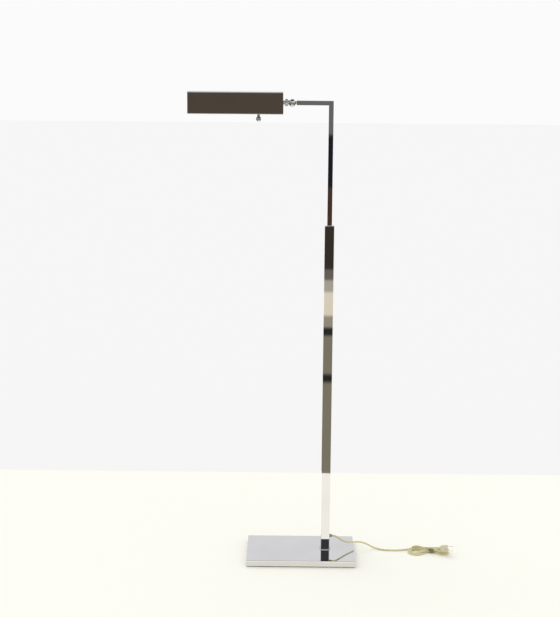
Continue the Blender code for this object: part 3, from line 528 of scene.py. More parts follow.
# The route of part.py's cord_run.
CORD_ROUTE = [
    (0.0210, 0.0000, 0.0583), (0.0262, 0.0000, 0.0580), (0.0340, -0.0010, 0.0550), (0.0440, -0.0020, 0.0483),
    (0.0560, 0.0000, 0.0413), (0.0680, 0.0060, 0.0366), (0.0800, 0.0140, 0.0338), (0.0930, 0.0235, 0.0308),
    (0.1060, 0.0340, 0.0262), (0.1180, 0.0430, 0.0198), (0.1300, 0.0470, 0.0125), (0.1420, 0.0460, 0.0065),
    (0.1540, 0.0425, 0.0034), (
        0.1660, 0.0375, CORD_LIE
    ), (0.1790, 0.0340, CORD_LIE), (0.1950, 0.0325, CORD_LIE),
    (
        0.2120, 0.0330, CORD_LIE
    ), (0.2290, 0.0365, CORD_LIE), (0.2400, 0.0400, CORD_LIE), (0.2480, 0.0422, CORD_LIE),
]

WAIST_X = 0.308
WAIST_Y = 0.0255
WAIST_BOW = 2.3
WAIST_HALF = 0.009
NECK_RADIUS = 0.015
COLUMNS = {"inner": 0.0014, "outer": 0.0042}
LOOP_RADII = {"inner": {-1: 0.0186, 1: 0.0150}, "outer": {-1: 0.0214, 1: 0.0178}}
LAYERS = (0.0026, 0.0078, 0.0130)
TIE_LIFT = 0.0021
TIE_REACH = 0.020
LOOP_POINTS = 160
PLUG_CENTRE = Vector((0.3450, 0.0016, 0.0224))
PLUG_TURN = math.radians(-11)
PLUG_HALF = 0.012
PLUG_REST = 0.0024
PLUG_SINK = 0.0004
TAIL_REACH = 0.030
FINE_STEP = 0.001
CORD_SMOOTHING = 14


def ease(t, start, stop):
    """0 before start and 1 after stop, with a smooth rise between."""
    share = np.clip((t - start) / (stop - start), 0, 1)
    return share * share * (3 - 2 * share)


def even(points, step=None):
    """The same line, its points evenly spaced by a step in metres, or LOOP_POINTS of them without a step."""
    points = np.array(points, float)
    run = np.concatenate([[0], np.cumsum(np.linalg.norm(np.diff(points, axis=0), axis=1))])
    places = np.linspace(0, run[-1], round(run[-1] / step) + 1 if step else LOOP_POINTS)
    return np.stack([np.interp(places, run, points[:, k]) for k in range(points.shape[1])], axis=1)


def eased_line(points, rounds):
    """The line with its small kinks smoothed out and its ends kept."""
    made = np.array(points, float)
    for _ in range(rounds):
        made[1:-1] = made[1:-1] * 0.5 + (made[:-2] + made[2:]) * 0.25
    return made


def catmull(points, count=12):
    """A smooth line through the points."""
    knots = np.array([points[0], *points, points[-1]], float)
    made = []
    for a, b, c, d in zip(knots, knots[1:], knots[2:], knots[3:]):
        for t in np.arange(count) / count:
            made.append(
                0.5 * (
                    2 * b + (c - a) * t + (2 * a - 5 * b + 4 * c - d) * t**2 + (3 * b - 3 * c + d - a) * t**3
                )
            )
    return np.array([*made, knots[-1]])


def hank_loop(side, offset, big, stretch=0.0):
    """One end loop of the hank in plan, from its front neck to its back neck. side is -1 left, 1 right."""
    neck_radius = NECK_RADIUS + COLUMNS["outer"] - offset
    rise = offset + neck_radius
    run = math.sqrt((neck_radius + big) ** 2 - rise**2)
    neck_turn = math.atan2(run, rise)
    big_turn = math.atan2(rise, run)
    neck_x = side * WAIST_HALF
    turns = np.linspace(0, neck_turn, 30)
    neck = np.stack([neck_x + side * neck_radius * np.sin(turns), neck_radius * np.cos(turns) - rise], axis=1)
    turns = np.linspace(big_turn, 2 * math.pi - big_turn, 120)
    middle = neck_x + side * (run + stretch * (1 - np.cos(turns)) / 2)
    round_end = np.stack([middle - side * big * np.cos(turns), -big * np.sin(turns)], axis=1)
    back = neck[::-1] * (1, -1)
    return even(np.concatenate([neck, round_end[1:-1], back]))


def slot_loop(side, column, stretch=0.0):
    """An end loop that starts and ends in one of the bundle's columns."""
    return hank_loop(side, COLUMNS[column], LOOP_RADII[column][side], stretch)


# The left loops fan out on the floor: each ring's column at its neck, its radius and its stretch to the left.
FAN = [("outer", 0.0226, 0.0), ("inner", 0.0199, 0.0), ("inner", 0.0173, 0.0026), ("inner", 0.0148, 0.0050)]
# For each left loop: its slot in the bundle where it starts and where it ends, as column and layer, and when
# it moves out to its ring, sinks to the floor, climbs again and moves to its last slot.
LEFT_LOOPS = [
    (("outer", 0), ("inner", 0), (0.00, 0.20), (0.00, 0.20), (0.50, 0.70), (0.52, 0.72)),
    (("inner", 0), ("outer", 1), (0.00, 0.24), (0.00, 0.20), (0.34, 0.50), (0.50, 0.70)),
    (("outer", 1), ("inner", 1), (0.04, 0.26), (0.24, 0.40), (0.48, 0.64), (0.56, 0.74)),
    (("inner", 1), ("inner", 2), (0.00, 0.20), (0.18, 0.36), (0.42, 0.62), (0.56, 0.74)),
]
RIGHT_LOOPS = [("outer", 0), ("inner", 0), ("outer", 1), ("inner", 1)]
RIGHT_STRETCH = (0.0, 0.0006, 0.0010, -0.0010)
JOIN_SHARE = 0.745
LEAVE_SHARE = 0.88


def moved(before, after, share):
    """One line turning into another along its length."""
    return before + (after - before) * (share[:, None] if np.ndim(before) > 1 else share)


def hank_line():
    """The hank's line in the row frame, from where the cord joins it to where its last left loop ends."""
    t = np.linspace(0, 1, LOOP_POINTS)
    joined = int(LOOP_POINTS * JOIN_SHARE)
    made = [np.column_stack([slot_loop(-1, "outer")[joined:], np.full(LOOP_POINTS - joined, LAYERS[0])])]
    for i, (first, last, out, sink, climb, back) in enumerate(LEFT_LOOPS):
        column, layer = RIGHT_LOOPS[i]
        height = np.full(LOOP_POINTS, LAYERS[layer])
        if i == 2:
            height += PLUG_REST * ease(t, 0.30, 0.55) * (1 - ease(t, 0.85, 1.0))
        made.append(np.column_stack([slot_loop(1, column, RIGHT_STRETCH[i])[::-1], height]))
        column, ring, stretch = FAN[i]
        fan = hank_loop(-1, COLUMNS[column], ring, stretch)
        left = moved(slot_loop(-1, first[0]), fan, ease(t, *out))
        left = moved(left, slot_loop(-1, last[0]), ease(t, *back))
        height = moved(LAYERS[first[1]] + 0 * t, LAYERS[0] + 0 * t, ease(t, *sink))
        height = moved(height, LAYERS[last[1]] + 0 * t, ease(t, *climb))
        made.append(np.column_stack([left, height]))
    made[-1] = made[-1][: int(LOOP_POINTS * LEAVE_SHARE)]
    line = np.concatenate(made)
    near = np.clip(1 - (line[:, 0] / TIE_REACH) ** 2, 0, 1) ** 2 * (np.abs(line[:, 1]) < 0.008)
    line[:, 2] += TIE_LIFT * near
    slope = 2 * WAIST_BOW * line[:, 0]
    lean = line[:, 1] / np.sqrt(1 + slope**2)
    line[:, 1] = WAIST_Y - WAIST_BOW * line[:, 0] ** 2 + lean
    line[:, 0] += WAIST_X + slope * lean
    return line


def cord_line():
    """The whole cord: along the floor, round the hank and up into the plug."""
    hank = hank_line()
    forward = np.array([math.cos(PLUG_TURN), math.sin(PLUG_TURN), 0])
    entry = np.array(PLUG_CENTRE) - forward * (PLUG_HALF - PLUG_SINK)
    leave = hank[-1] - hank[-2]
    leave = leave / np.linalg.norm(leave)
    t = np.linspace(0, 1, 40)[1:, None]
    tail = (
        (2 * t**3 - 3 * t**2 + 1) * hank[-1] + (t**3 - 2 * t**2 + t) * leave * TAIL_REACH
        + (3 * t**2 - 2 * t**3) * entry + (t**3 - t**2) * forward * TAIL_REACH
    )
    run = catmull(CORD_ROUTE)
    line = np.concatenate([run, hank, tail])
    line = eased_line(even(line, FINE_STEP), CORD_SMOOTHING)
    line = even(line, CORD_STEP)
    return np.concatenate([[CORD_EXIT], line]) if np.linalg.norm(line[0] - CORD_EXIT) > 1e-5 else line


def cord_section(count=16):
    """A flat twin flex in section: two round cores side by side with a groove between."""
    core = CORD_THICKNESS / 2
    middle = CORD_WIDTH / 2 - core
    made = []
    for i in range(count):
        turn = 2 * math.pi * (i + 0.5) / count
        across = CORD_WIDTH / 2 * math.cos(turn)
        thick = max(core * 0.62, math.sqrt(max(0, core**2 - (abs(across) - middle) ** 2)))
        if abs(across) > middle + core * 0.7:
            thick = math.sqrt(max(0, core**2 - (abs(across) - middle) ** 2))
        made.append((across, math.copysign(thick, math.sin(turn))))
    return made


def set_values(shape, name, values):
    """Stores one number for each vertex, for the material to read."""
    attribute = shape.data.attributes.new(name, "FLOAT", "POINT")
    attribute.data.foreach_set("value", np.array(values, np.float32))


def flex_material(name, skin_dark, skin_bright, core, strands=5200.0):
    """Clear tinted insulation over two stranded cores, which show as darker twisted lines."""
    made, tree, shader = new_material(name)
    across = add_node(tree, "ShaderNodeAttribute", attribute_name="cord_across").outputs["Fac"]
    along = add_node(tree, "ShaderNodeAttribute", attribute_name="cord_along").outputs["Fac"]
    side = add_node(tree, "ShaderNodeMath", {0: across}, operation="ABSOLUTE").outputs["Value"]
    cores = ramp(tree, side, [(0.12, grey(0)), (0.34, grey(1)), (0.66, grey(1)), (0.9, grey(0.15))])
    twist = add_node(tree, "ShaderNodeMath", {0: across, 1: 5.0}, operation="MULTIPLY").outputs["Value"]
    lay = add_node(
        tree, "ShaderNodeMath", {0: along, 1: strands, 2: twist}, operation="MULTIPLY_ADD"
    ).outputs["Value"]
    wave = add_node(tree, "ShaderNodeMath", {0: lay}, operation="SINE").outputs["Value"]
    strand = add_node(
        tree, "ShaderNodeMath", {0: wave, 1: 0.22, 2: 0.72}, operation="MULTIPLY_ADD"
    ).outputs["Value"]
    depth = add_node(tree, "ShaderNodeMath", {0: cores, 1: strand}, operation="MULTIPLY").outputs["Value"]
    skin = ramp(tree, noise(tree, 45.0), [(0.3, skin_dark), (0.7, skin_bright)])
    mixed = add_node(tree, "ShaderNodeMix", data_type="RGBA")
    tree.links.new(depth, mixed.inputs["Factor"])
    tree.links.new(skin, mixed.inputs["A"])
    mixed.inputs["B"].default_value = (*core, 1)
    tree.links.new(mixed.outputs["Result"], shader.inputs["Base Color"])
    fine = noise(tree, 800.0)
    tree.links.new(between(tree, fine, 0.16, 0.30), shader.inputs["Roughness"])
    shader.inputs["Coat Weight"].default_value = 0.6
    shader.inputs["Coat Roughness"].default_value = 0.08
    bump(tree, shader, fine, 0.00002)
    return made


FLEX = flex_material("flex", (0.80, 0.73, 0.38), (0.90, 0.85, 0.54), (0.30, 0.25, 0.085))
LACE = flex_material("lace", (0.20, 0.18, 0.065), (0.30, 0.275, 0.12), (0.08, 0.07, 0.025))

TIE_TURNS = 3
TIE_PITCH = 0.0052
TIE_HALF_WIDTH = 0.0019
TIE_HALF_THICKNESS = 0.0009
TIE_HALF_Y = 0.0070
TIE_HALF_Z = 0.0063
TIE_MIDDLE_Z = 0.0073
TIE_SLANT = 0.0040
TIE_SQUARENESS = 6
TIE_STEPS = 56
TIE_STEP = 0.0009


def add_tie():
    """A flattened lace wound three times round the bundle's waist."""
    points = []
    total = TIE_TURNS * TIE_STEPS
    for i in range(total + 1):
        turn = 2 * math.pi * i / TIE_STEPS - math.pi / 2
        power = 2 / TIE_SQUARENESS
        side = math.copysign(abs(math.cos(turn)) ** power, math.cos(turn)) * TIE_HALF_Y
        rise = math.copysign(abs(math.sin(turn)) ** power, math.sin(turn)) * TIE_HALF_Z
        x = WAIST_X + TIE_PITCH * TIE_TURNS * (i / total - 0.5)
        x -= TIE_SLANT * (side / TIE_HALF_Y + rise / TIE_HALF_Z) / 2
        points.append((x, WAIST_Y - WAIST_BOW * (x - WAIST_X) ** 2 + side, TIE_MIDDLE_Z + rise))
    points = [tuple(p) for p in even(points, TIE_STEP)]
    section = [(TIE_HALF_WIDTH * x, TIE_HALF_THICKNESS * y) for x, y in arc((0, 0), 1, 0, 330, 11)]
    tie = piece("hank_tie", sweep(points, section, (1, 0, 0)), "stand", "cord", material=LACE, sharp=80)
    set_values(tie, "cord_across", [a / TIE_HALF_WIDTH for _ in points for a, _ in section])
    set_values(tie, "cord_along", [TIE_STEP * i for i in range(len(points)) for _ in section])
    return tie


def rounded_box(width, height, corner, count=5):
    """A rounded rectangle's outline about its middle."""
    a, b = width / 2, height / 2
    return soften([(-a, -b), (a, -b), (a, b), (-a, b)], corner, closed=True, count=count)


# The plug's stations: distance from its middle, height and thickness of its section, in metres.
PLUG_STATIONS = [
    (
        -0.0120, 0.0066, 0.0044
    ), (-0.0118, 0.0076, 0.0054), (-0.0110, 0.0080, 0.0057), (-0.0108, 0.0072, 0.0050),
    (
        -0.0102, 0.0072, 0.0050
    ), (-0.0100, 0.0086, 0.0063), (-0.0092, 0.0092, 0.0068), (-0.0089, 0.0104, 0.0074),
    (
        -0.0080, 0.0128, 0.0086
    ), (-0.0065, 0.0152, 0.0098), (-0.0045, 0.0168, 0.0108), (-0.0022, 0.0178, 0.0116),
    (0.0000, 0.0183, 0.0120), (0.0010, 0.0184, 0.0121), (0.0013, 0.0179, 0.0116), (0.0021, 0.0180, 0.0117),
    (0.0024, 0.0186, 0.0123), (0.0034, 0.0187, 0.0124), (0.0037, 0.0182, 0.0119), (0.0045, 0.0183, 0.0120),
    (0.0048, 0.0189, 0.0127), (0.0058, 0.0190, 0.0128), (0.0061, 0.0184, 0.0122), (0.0069, 0.0184, 0.0122),
    (0.0072, 0.0189, 0.0128), (0.0096, 0.0187, 0.0128), (0.0110, 0.0180, 0.0123), (0.0118, 0.0170, 0.0115),
    (0.0120, 0.0160, 0.0106),
]
BLADE_LENGTH = 0.016
BLADE_WIDTH = 0.0063
BLADE_HALF_THICKNESS = 0.00075
BLADE_HALF_SPACING = 0.00635
BLADE_HOLE = 0.0015


def add_plug():
    """The moulded plug with its ribbed boot and finger grips, and its two blades."""
    frame_of = Matrix.Translation(PLUG_CENTRE) @ Matrix.Rotation(PLUG_TURN, 4, "Z")
    rows = []
    for place, tall, thick in PLUG_STATIONS:
        outline = rounded_box(thick, tall, min(thick, tall) * 0.36)
        rows.append([frame_of @ Vector((place, y, z)) for y, z in outline])
    body = piece("plug_moulding", loft(rows), "stand", "plug", ["plug_body"], sharp=60)
    made = [body]
    for name, side in (("plug_blade_lower", -1), ("plug_blade_upper", 1)):
        near, far = PLUG_HALF + 0.0003, PLUG_HALF + 0.0003 + BLADE_LENGTH
        half = BLADE_WIDTH / 2
        outline = [
            (near, -half), (far - 0.0022, -half), (far, -half * 0.55), (far, half * 0.55),
            (far - 0.0022, half), (near, half)
        ]
        height = side * BLADE_HALF_SPACING
        rows = []
        for share, inset in ((-1, 0.0002), (-0.75, 0), (0.75, 0), (1, 0.0002)):
            level = height + share * BLADE_HALF_THICKNESS
            middle = (near + far) / 2
            rows.append([
                frame_of @ Vector(
                    (middle + (x - middle) * (1 - inset / BLADE_LENGTH * 2), y * (1 - inset / half), level)
                )
                for x, y in outline
            ])
        blade = link_mesh(name + "_stamped", *loft(rows))
        spot = frame_of @ Vector((far - 0.0040, 0, height))
        hole = link_mesh(
            "blade_hole", *lathe([(-0.003, BLADE_HOLE), (0.003, BLADE_HOLE)], spot, (0, 0, 1), 32)
        )
        carve(blade, hole)
        made.append(dress(blade, "stand", "brass", [name], NICKEL, sharp=25))
    return made


def add_cord():
    """The free cord as one flat flex of its real length, with its plug and the hank's tie."""
    line = cord_line()
    section = cord_section()
    flex = piece(
        "cord", sweep([tuple(p) for p in line], section, (0, 0, 1)), "stand", "cord",
        ["cord_run", "cord_hank"], material=FLEX, sharp=80,
    )
    set_values(flex, "cord_across", [a / (CORD_WIDTH / 2) for _ in line for a, _ in section])
    run = np.concatenate([[0], np.cumsum(np.linalg.norm(np.diff(line, axis=0), axis=1))])
    set_values(flex, "cord_along", np.repeat(run, len(section)))
    fittings = add_plug() + [add_tie()]


# -------------------------------- shade

ARM_HEIGHT = 1.3
SHADE_HALF_DEPTH = 0.045
SHADE_HALF_HEIGHT = 0.030
SHADE_SHEET = 0.0009
SHADE_BEND = 0.0022
SHADE_LIP = 0.006
SHADE_EDGE = 0.00025
SHADE_ROWS = 12


def shade_fold(inset):
    """The folded sheet's line from lip to lip, at a depth of inset in the sheet."""
    y, z = SHADE_HALF_DEPTH - inset, SHADE_HALF_HEIGHT - inset
    lip = SHADE_HALF_DEPTH - SHADE_LIP
    corners = [(-lip, -z), (-y, -z), (-y, z), (y, z), (y, -z), (lip, -z)]
    return soften(corners, SHADE_BEND - inset, count=8)


def add_shade():
    """The shade's one folded sheet, with rounded bends and eased edges."""
    low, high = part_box("shade_shell")
    outer, inner = shade_fold(0), shade_fold(SHADE_SHEET)
    middle = [tuple((Vector(a) + Vector(b)) / 2) for a, b in zip(outer, inner)]
    stations = [(low.x, 0.5), (low.x + SHADE_EDGE, 0.0)]
    stations += [(low.x + (high.x - low.x) * i / SHADE_ROWS, 0.0) for i in range(1, SHADE_ROWS)]
    stations += [(high.x - SHADE_EDGE, 0.0), (high.x, 0.5)]
    rows = []
    for x, pinch in stations:
        front = [Vector(a).lerp(Vector(m), pinch) for a, m in zip(outer, middle)]
        back = [Vector(a).lerp(Vector(m), pinch) for a, m in zip(inner, middle)]
        rows.append([(x, p.x, ARM_HEIGHT + p.y) for p in front + back[::-1]])
    sheet = piece("shade_sheet", loft(rows), "shade", "chrome", ["shade_shell"])
    level = sheet.modifiers.new("flat_faces", "WEIGHTED_NORMAL")
    level.keep_sharp = True
    level.weight = 100


# -------------------------------- swivel

BALL = Vector((-0.1069, 0, ARM_HEIGHT))
BALL_RADIUS = 0.0104
CAVITY_RADIUS = 0.0074
BOSS_RADIUS = 0.0034
SPLIT = 0.00015
PIVOT_HOLE = 0.0018
PIVOT_RADIUS = 0.0015
PIVOT_HEAD = 0.0030
SWIVEL_GAP = 0.0003
AXIS_X = (1, 0, 0)
AXIS_Z = (0, 0, 1)
ON_AXIS = 0.00001


def half_ball(name, side, recess, stem_side, stem_radius, stem_end, bore):
    """Half of the hollow ball, with its stem and the recess for the pivot. side is -1 front, 1 back."""
    rim = math.degrees(math.acos(recess / BALL_RADIUS))
    boss = math.degrees(math.acos(BOSS_RADIUS / CAVITY_RADIUS))
    start = math.degrees(math.asin(SPLIT / BALL_RADIUS))
    inner_start = math.degrees(math.asin(SPLIT / CAVITY_RADIUS))
    outside = [(y, x) for x, y in arc((0, 0), BALL_RADIUS, start, rim, 22)]
    inside = [(y, x) for x, y in arc((0, 0), CAVITY_RADIUS, boss, inner_start, 12)]
    profile = [
        (SPLIT, PIVOT_HOLE), (SPLIT, BOSS_RADIUS), *inside, *outside, (CAVITY_RADIUS, recess),
        (CAVITY_RADIUS, PIVOT_HOLE)
    ]
    half = link_mesh(name, *lathe(profile, BALL, (0, side, 0), 72, around=True))
    stem_start = CAVITY_RADIUS + 0.0004
    stem_profile = soften(
        [(stem_start, 0), (stem_start, stem_radius), (stem_end, stem_radius), (stem_end, 0)], 0.0003
    )
    stem = link_mesh(
        "stem", *lathe([(a, max(r, ON_AXIS)) for a, r in stem_profile], BALL, (stem_side, 0, 0), 48)
    )
    swept = [(y, x) for x, y in arc((0, 0), BALL_RADIUS + SWIVEL_GAP, 0, 89.9, 20)]
    swept = [(-SPLIT, ON_AXIS), (-SPLIT, BALL_RADIUS + SWIVEL_GAP), *swept]
    carve(stem, link_mesh("swept", *lathe(swept, BALL, (0, -side, 0), 48)))
    carve(half, stem, "UNION")
    carve(
        half,
        link_mesh(
            "bore",
            *lathe([(CAVITY_RADIUS - 0.002, bore), (stem_end + 0.002, bore)], BALL, (stem_side, 0, 0), 32)
        )
    )
    return half


KNURLS = 56
KNURL_DEPTH = 0.0003
KNURL_STEPS = 6


def knurled(distance, radius, turn):
    """A straight knurl on the ring's rim, which fades at its bevels."""
    if radius < RING_RADIUS - 0.0002:
        return radius
    return radius - KNURL_DEPTH * (0.5 - 0.5 * math.cos(turn * KNURLS)) ** 0.7


RING_RADIUS = 0.00985


def add_swivel():
    """The ball's two halves, the screw between them, the knurled ring and the neck washer."""
    front = half_ball("ball_front_half", -1, PIVOT_HEAD + SWIVEL_GAP, 1, 0.0036, 0.0225, 0.0019)
    dress(front, "post", "chrome", ["swivel_arm_half"])
    back = half_ball("ball_back_half", 1, 0.0037, -1, 0.0065, 0.0156, 0.0028)
    dress(back, "swivel", "chrome", ["swivel_shade_half"])

    low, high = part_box("swivel_screw")
    top, bottom = -low.y, -high.y
    seat = top - 0.0015
    head = [(seat, PIVOT_RADIUS), (seat, PIVOT_HEAD), (seat + 0.0006, PIVOT_HEAD)]
    dome = [
        (seat + 0.0006 + 0.0009 * math.sin(a), PIVOT_HEAD * math.cos(a)) for a in np.linspace(0.15, 1.56, 9)
    ]
    profile = soften([(bottom, ON_AXIS), (bottom, PIVOT_RADIUS), *head, *dome], 0.0002, count=2)
    screw = link_mesh("pivot_screw", *lathe(profile, BALL, (0, -1, 0), 40))
    slot = [
        (BALL.x + x, -top + y, ARM_HEIGHT + z) for y in (-0.001, 0.0008) for x,
        z in ((-0.004, -0.0004), (0.004, -0.0004), (0.004, 0.0004), (-0.004, 0.0004))
    ]
    carve(screw, link_mesh("slot", *loft([slot[:4], slot[4:]])))
    dress(screw, "swivel", "chrome", ["swivel_screw"])

    low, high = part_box("knurled_ring")
    lip, bore, stem_bore = low.x + 0.0016, 0.0051, 0.0068
    rim = RING_RADIUS
    profile = soften([
        (low.x, bore), (low.x, rim - 0.0006), (low.x + 0.0006, rim), (low.x + 0.0007, rim),
        (high.x - 0.0007, rim), (high.x - 0.0006, rim), (high.x, rim - 0.0006),
        (high.x, stem_bore), (lip, stem_bore), (lip, bore),
    ], 0.0002, closed=True, count=2)
    centre = (0, 0, ARM_HEIGHT)
    ring = lathe(profile, centre, AXIS_X, KNURLS * KNURL_STEPS, around=True, reach=knurled)
    piece("knurled_collar", ring, "swivel", "chrome", ["knurled_ring"], sharp=50)

    low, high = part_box("shade_neck_washer")
    profile = soften(
        [(low.x, 0.0051), (low.x, 0.0060), (high.x, 0.0060), (high.x, 0.0051)], 0.0004, closed=True
    )
    piece(
        "neck_spacer", lathe(profile, centre, AXIS_X, 64, around=True), "shade", "chrome",
        ["shade_neck_washer"]
    )


# -------------------------------- nipple, socket and bulb


def threaded(low, high, pitch, depth):
    """A reach function for a rounded thread between two distances, which runs out at both ends."""
    def reach(distance, radius, turn):
        runs_out = min(1.0, max(0.0, (distance - low) / pitch), max(0.0, (high - distance) / pitch))
        return radius - depth * runs_out * (0.5 + 0.5 * math.cos(2 * math.pi * distance / pitch - turn))
    return reach


def tube_profile(start, stop, bore, radius, step):
    """A tube's section as a closed profile, divided into steps along its length."""
    outside = fill([(start, radius), (stop, radius)], step)
    inside = fill([(stop, bore), (start, bore)], step)
    return outside + inside


def add_socket():
    """The threaded nipple, the brass socket with its insulator, and the bulb."""
    centre = (0, 0, ARM_HEIGHT)
    low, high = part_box("shade_nipple")
    flange = high.x - 0.0015
    thread = threaded(low.x, flange, 0.0011, 0.0004)

    def nipple_reach(distance, radius, turn):
        return thread(distance, radius, turn) if 0.0040 < radius < 0.0050 else radius

    body = fill([(low.x, 0.0048), (flange, 0.0048)], 0.00022)
    profile = [(low.x, 0.0028), *body, (flange, 0.0061), (high.x, 0.0061), (high.x, 0.0028)]
    skin = lathe(profile, centre, AXIS_X, 36, around=True, reach=nipple_reach)
    piece("threaded_nipple", skin, "shade", "brass", ["shade_nipple"])

    low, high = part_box("socket_cap")
    wall, neck, wide = 0.0008, 0.0067, 0.0162
    step = high.x - 0.0060
    dome = [
        (
            step - 0.0150 * (1 - math.cos(a)), neck + (wide - neck) * math.sin(a)
        ) for a in np.linspace(0, math.pi / 2, 14)
    ]
    inner = [(a - wall, max(r - wall, 0.0051)) for a, r in dome]
    inner[-1] = (low.x, wide - wall)
    profile = [
        (high.x, 0.0051), (high.x, neck - 0.0004), (high.x - 0.0004, neck), *dome[:-1],
        (low.x + 0.0012, wide), (low.x, wide), *inner[::-1]
    ]
    piece(
        "socket_cap_spun", lathe(profile, centre, AXIS_X, 72, around=True), "shade", "brass", ["socket_cap"]
    )

    low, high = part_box("socket_shell")
    beads = [low.x + 0.0030, high.x - 0.0040]

    def rolled(distance, radius, turn):
        dip = sum(math.exp(-((distance - bead) / 0.0006) ** 2) for bead in beads)
        return radius - 0.0006 * dip

    shell = link_mesh(
        "socket_shell_rolled",
        *lathe(
            tube_profile(low.x, high.x, wide - wall, wide, 0.00035), centre, AXIS_X, 72, around=True,
            reach=rolled
        )
    )
    switch_x = (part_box("switch_knob")[0].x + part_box("switch_knob")[1].x) / 2
    hole_top = ARM_HEIGHT - 0.010
    hole = lathe([(0, 0.0023), (0.010, 0.0023)], (switch_x, 0, hole_top - 0.010), AXIS_Z, 32)
    carve(shell, link_mesh("hole", *hole))
    dress(shell, "shade", "brass", ["socket_shell"])

    low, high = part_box("socket_body")
    profile = soften([(low.x, ON_AXIS), (low.x, 0.0151), (high.x, 0.0151), (high.x, ON_AXIS)], 0.0008)
    body = link_mesh("socket_insulator", *lathe(profile, centre, AXIS_X, 64))
    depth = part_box("switch_shaft")[1].z + SWIVEL_GAP - (ARM_HEIGHT - 0.0170)
    carve(
        body,
        link_mesh(
            "hole", *lathe([(0, 0.0023), (depth, 0.0023)], (switch_x, 0, ARM_HEIGHT - 0.0170), AXIS_Z, 32)
        )
    )
    dress(body, "shade", "phenolic", ["socket_body"])

    low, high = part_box("socket_thread_shell")
    skin = lathe(
        tube_profile(low.x, high.x, 0.0136, 0.0141, 0.0004), centre, AXIS_X, 60, around=True,
        reach=threaded(low.x, high.x, 0.0036, 0.0007),
    )
    piece("thread_shell_rolled", skin, "shade", "brass", ["socket_thread_shell"], sharp=70)

    low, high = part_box("bulb_base")
    end = [
        (high.x, ON_AXIS), (high.x, 0.0042), (high.x - 0.0004, 0.0046), (high.x - 0.0015, 0.0056),
        (high.x - 0.0045, 0.0118)
    ]
    rolled_part = fill([(high.x - 0.0056, 0.0126), (low.x + 0.0004, 0.0126)], 0.0004)
    profile = [(low.x, ON_AXIS), (low.x, 0.0122), *rolled_part[::-1], *end[::-1]]
    base_thread = threaded(low.x + 0.0010, high.x - 0.0050, 0.0036, 0.0008)

    def base_reach(distance, radius, turn):
        return base_thread(distance, radius, turn) if radius > 0.0125 else radius

    piece(
        "bulb_cap", lathe(profile, centre, AXIS_X, 60, reach=base_reach), "shade", "steel", ["bulb_base"],
        sharp=60
    )

    low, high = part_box("bulb_glass")
    radius, neck, rounding, glass = 0.0160, 0.0125, 0.0110, 0.0009
    def outline(inset):
        tip = [
            (
                low.x + rounding - (rounding - inset) * math.sin(a),
                radius - rounding + (rounding - inset) * math.cos(a)
            ) for a in np.linspace(0, math.pi / 2, 14)
        ]
        shoulder = [
            (
                high.x - 0.0200 * t, neck - inset + (radius - neck) * float(ease(t, 0.0, 1.0))
            ) for t in np.linspace(0, 1, 14)
        ]
        return [*shoulder, *tip, (low.x + inset, ON_AXIS)]
    profile = outline(0) + outline(glass)[::-1]
    piece(
        "bulb_envelope", lathe(profile, centre, AXIS_X, 64, around=True), "shade", "bulb_glass",
        ["bulb_glass"]
    )


# -------------------------------- switch knob, strain relief and slack lead


def add_knob():
    """The switch's ball with its neck, turned in one."""
    low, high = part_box("switch_knob")
    radius, neck, bore = 0.00705, 0.0036, 0.0023
    middle = low.z + radius
    start = -math.pi / 2
    stop = math.acos(neck / radius)
    ball = [
        (
            middle + radius * math.sin(a), max(radius * math.cos(a), ON_AXIS)
        ) for a in np.linspace(start, stop, 34)
    ]
    collar = [
        (high.z - 0.0026, neck), (high.z - 0.0023, neck - 0.0003), (high.z - 0.0017, neck - 0.0003),
        (high.z - 0.0014, neck)
    ]
    floor = middle - 0.0020
    profile = [
        (floor, ON_AXIS), *ball, (ball[-1][0] + 0.0004, neck), *collar, (high.z - 0.0003, neck),
        (high.z, neck - 0.0003), (high.z, bore), (floor, bore)
    ]
    x = (low.x + high.x) / 2
    piece(
        "knob_turned", lathe(profile, (x, 0, 0), AXIS_Z, 72, around=True), "knob", "chrome", ["switch_knob"]
    )


def add_relief():
    """The cord's strain relief: flange, ribbed nose and the neck that the column's wall sits in."""
    low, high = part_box("strain_relief")
    height = (low.z + high.z) / 2
    tail, face = low.x, high.x
    profile = [(tail, ON_AXIS), (tail, 0.0033), (tail + 0.0004, 0.0036)]
    profile += [(0.0092, 0.0036), (0.0092, 0.0045), (0.0109, 0.0062), (0.0109, 0.0045), (0.0130, 0.0045)]
    profile += [(0.0130, 0.0054), (0.0133, 0.0058), (0.0144, 0.0058), (0.0148, 0.0052)]
    ribs = 5
    start, step = 0.0150, (face - 0.0154) / ribs
    for i in range(ribs):
        radius = 0.0046 - 0.0011 * i / ribs
        x = start + i * step
        profile += [
            (x, radius - 0.0005), (x + step * 0.25, radius - 0.0005), (x + step * 0.35, radius),
            (x + step * 0.9, radius - 0.0001)
        ]
    profile += [(face - 0.0003, 0.0034), (face, 0.0031), (face, ON_AXIS)]
    piece(
        "relief_ribbed", lathe(profile, (0, 0, height), AXIS_X, 40), "stand", "cord", ["strain_relief"],
        CORD
    )


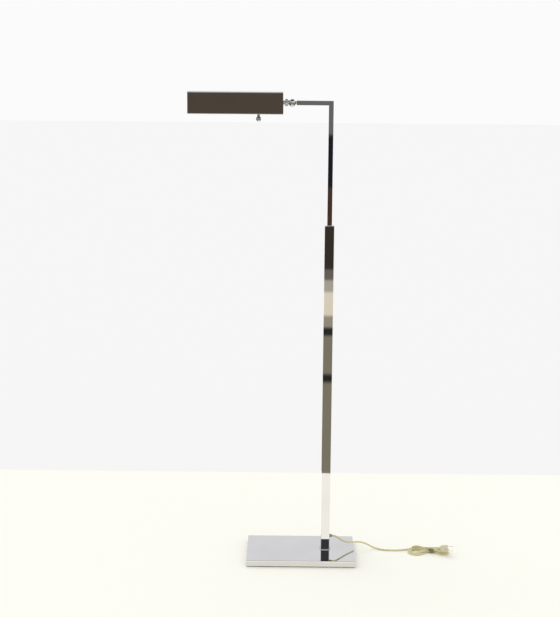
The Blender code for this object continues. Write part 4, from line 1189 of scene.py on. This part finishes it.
LEAD_RADIUS = 0.0016
LEAD_TURNS = 13
LEAD_PER_TURN = 20
LEAD_COIL = 0.0066


def add_slack_lead():
    """The coiled lead in the column, which on the real lamp stretches and gathers between the stand and the
    sliding post. It is built once, at rest, on no body.
    """
    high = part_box("slack_lead")[1]
    bottom, top = 0.0783, high.z - LEAD_RADIUS
    height = 0.0583
    count = LEAD_TURNS * LEAD_PER_TURN
    coil = []
    for i in range(count + 1):
        share = i / count
        grow = min(1, 8 * share, 8 * (1 - share)) * LEAD_COIL
        turn = 2 * math.pi * i / LEAD_PER_TURN
        coil.append((grow * math.cos(turn), grow * math.sin(turn), bottom + (top - bottom) * share))
    side = -0.0065
    lead_in = [
        (-0.0001, 0, height), (-0.0031, 0, height + 0.0001), (side, 0, height + 0.0035),
        (side, 0, height + 0.0100), coil[0]
    ]
    line = even(eased_line(even([*catmull(lead_in), *coil], 0.001), 6), 0.0022)
    section = arc((0, 0), LEAD_RADIUS, 0, 324, 9)
    lead = link_mesh("slack_lead_coiled", *sweep([tuple(p) for p in line], section, (0, 1, 0)))
    dress(lead, None, "cord", ["slack_lead"], CORD)
    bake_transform(lead)


FOOT_BEAD = 0.0022
FOOT_GAP = 0.00005


def add_foot_bead():
    """The small polished bead where the column stands on its plate."""
    low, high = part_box("column_tube")
    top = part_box("base_plate")[1].z + FOOT_GAP
    half = (high.x - low.x) / 2 + FOOT_GAP
    rows = []
    for out, up in [(0, 0), *arc((0, 0), FOOT_BEAD, 0, 90, 8)]:
        outline = rounded_box(2 * (half + out), 2 * (half + out), 0.0015 + out)
        rows.append([(x, y, top + up) for x, y in outline])
    piece("foot_bead", loft(rows, around=True), "stand", "chrome")


# -------------------------------- carried-over nodes

NODE_SLOTS = {entry["node"]: entry["material_slot"] for entry in frame["record"]["subparts"]}

add_camera()
add_floor()
add_cards()
add_light()
for node_name, shape in frame["nodes"].items():
    shape.data.materials.clear()
    shape.data.materials.append(SLOT_MATERIALS[NODE_SLOTS[node_name]])
add_cord()
add_shade()
add_swivel()
add_socket()
add_knob()
add_relief()
add_slack_lead()
add_foot_bead()
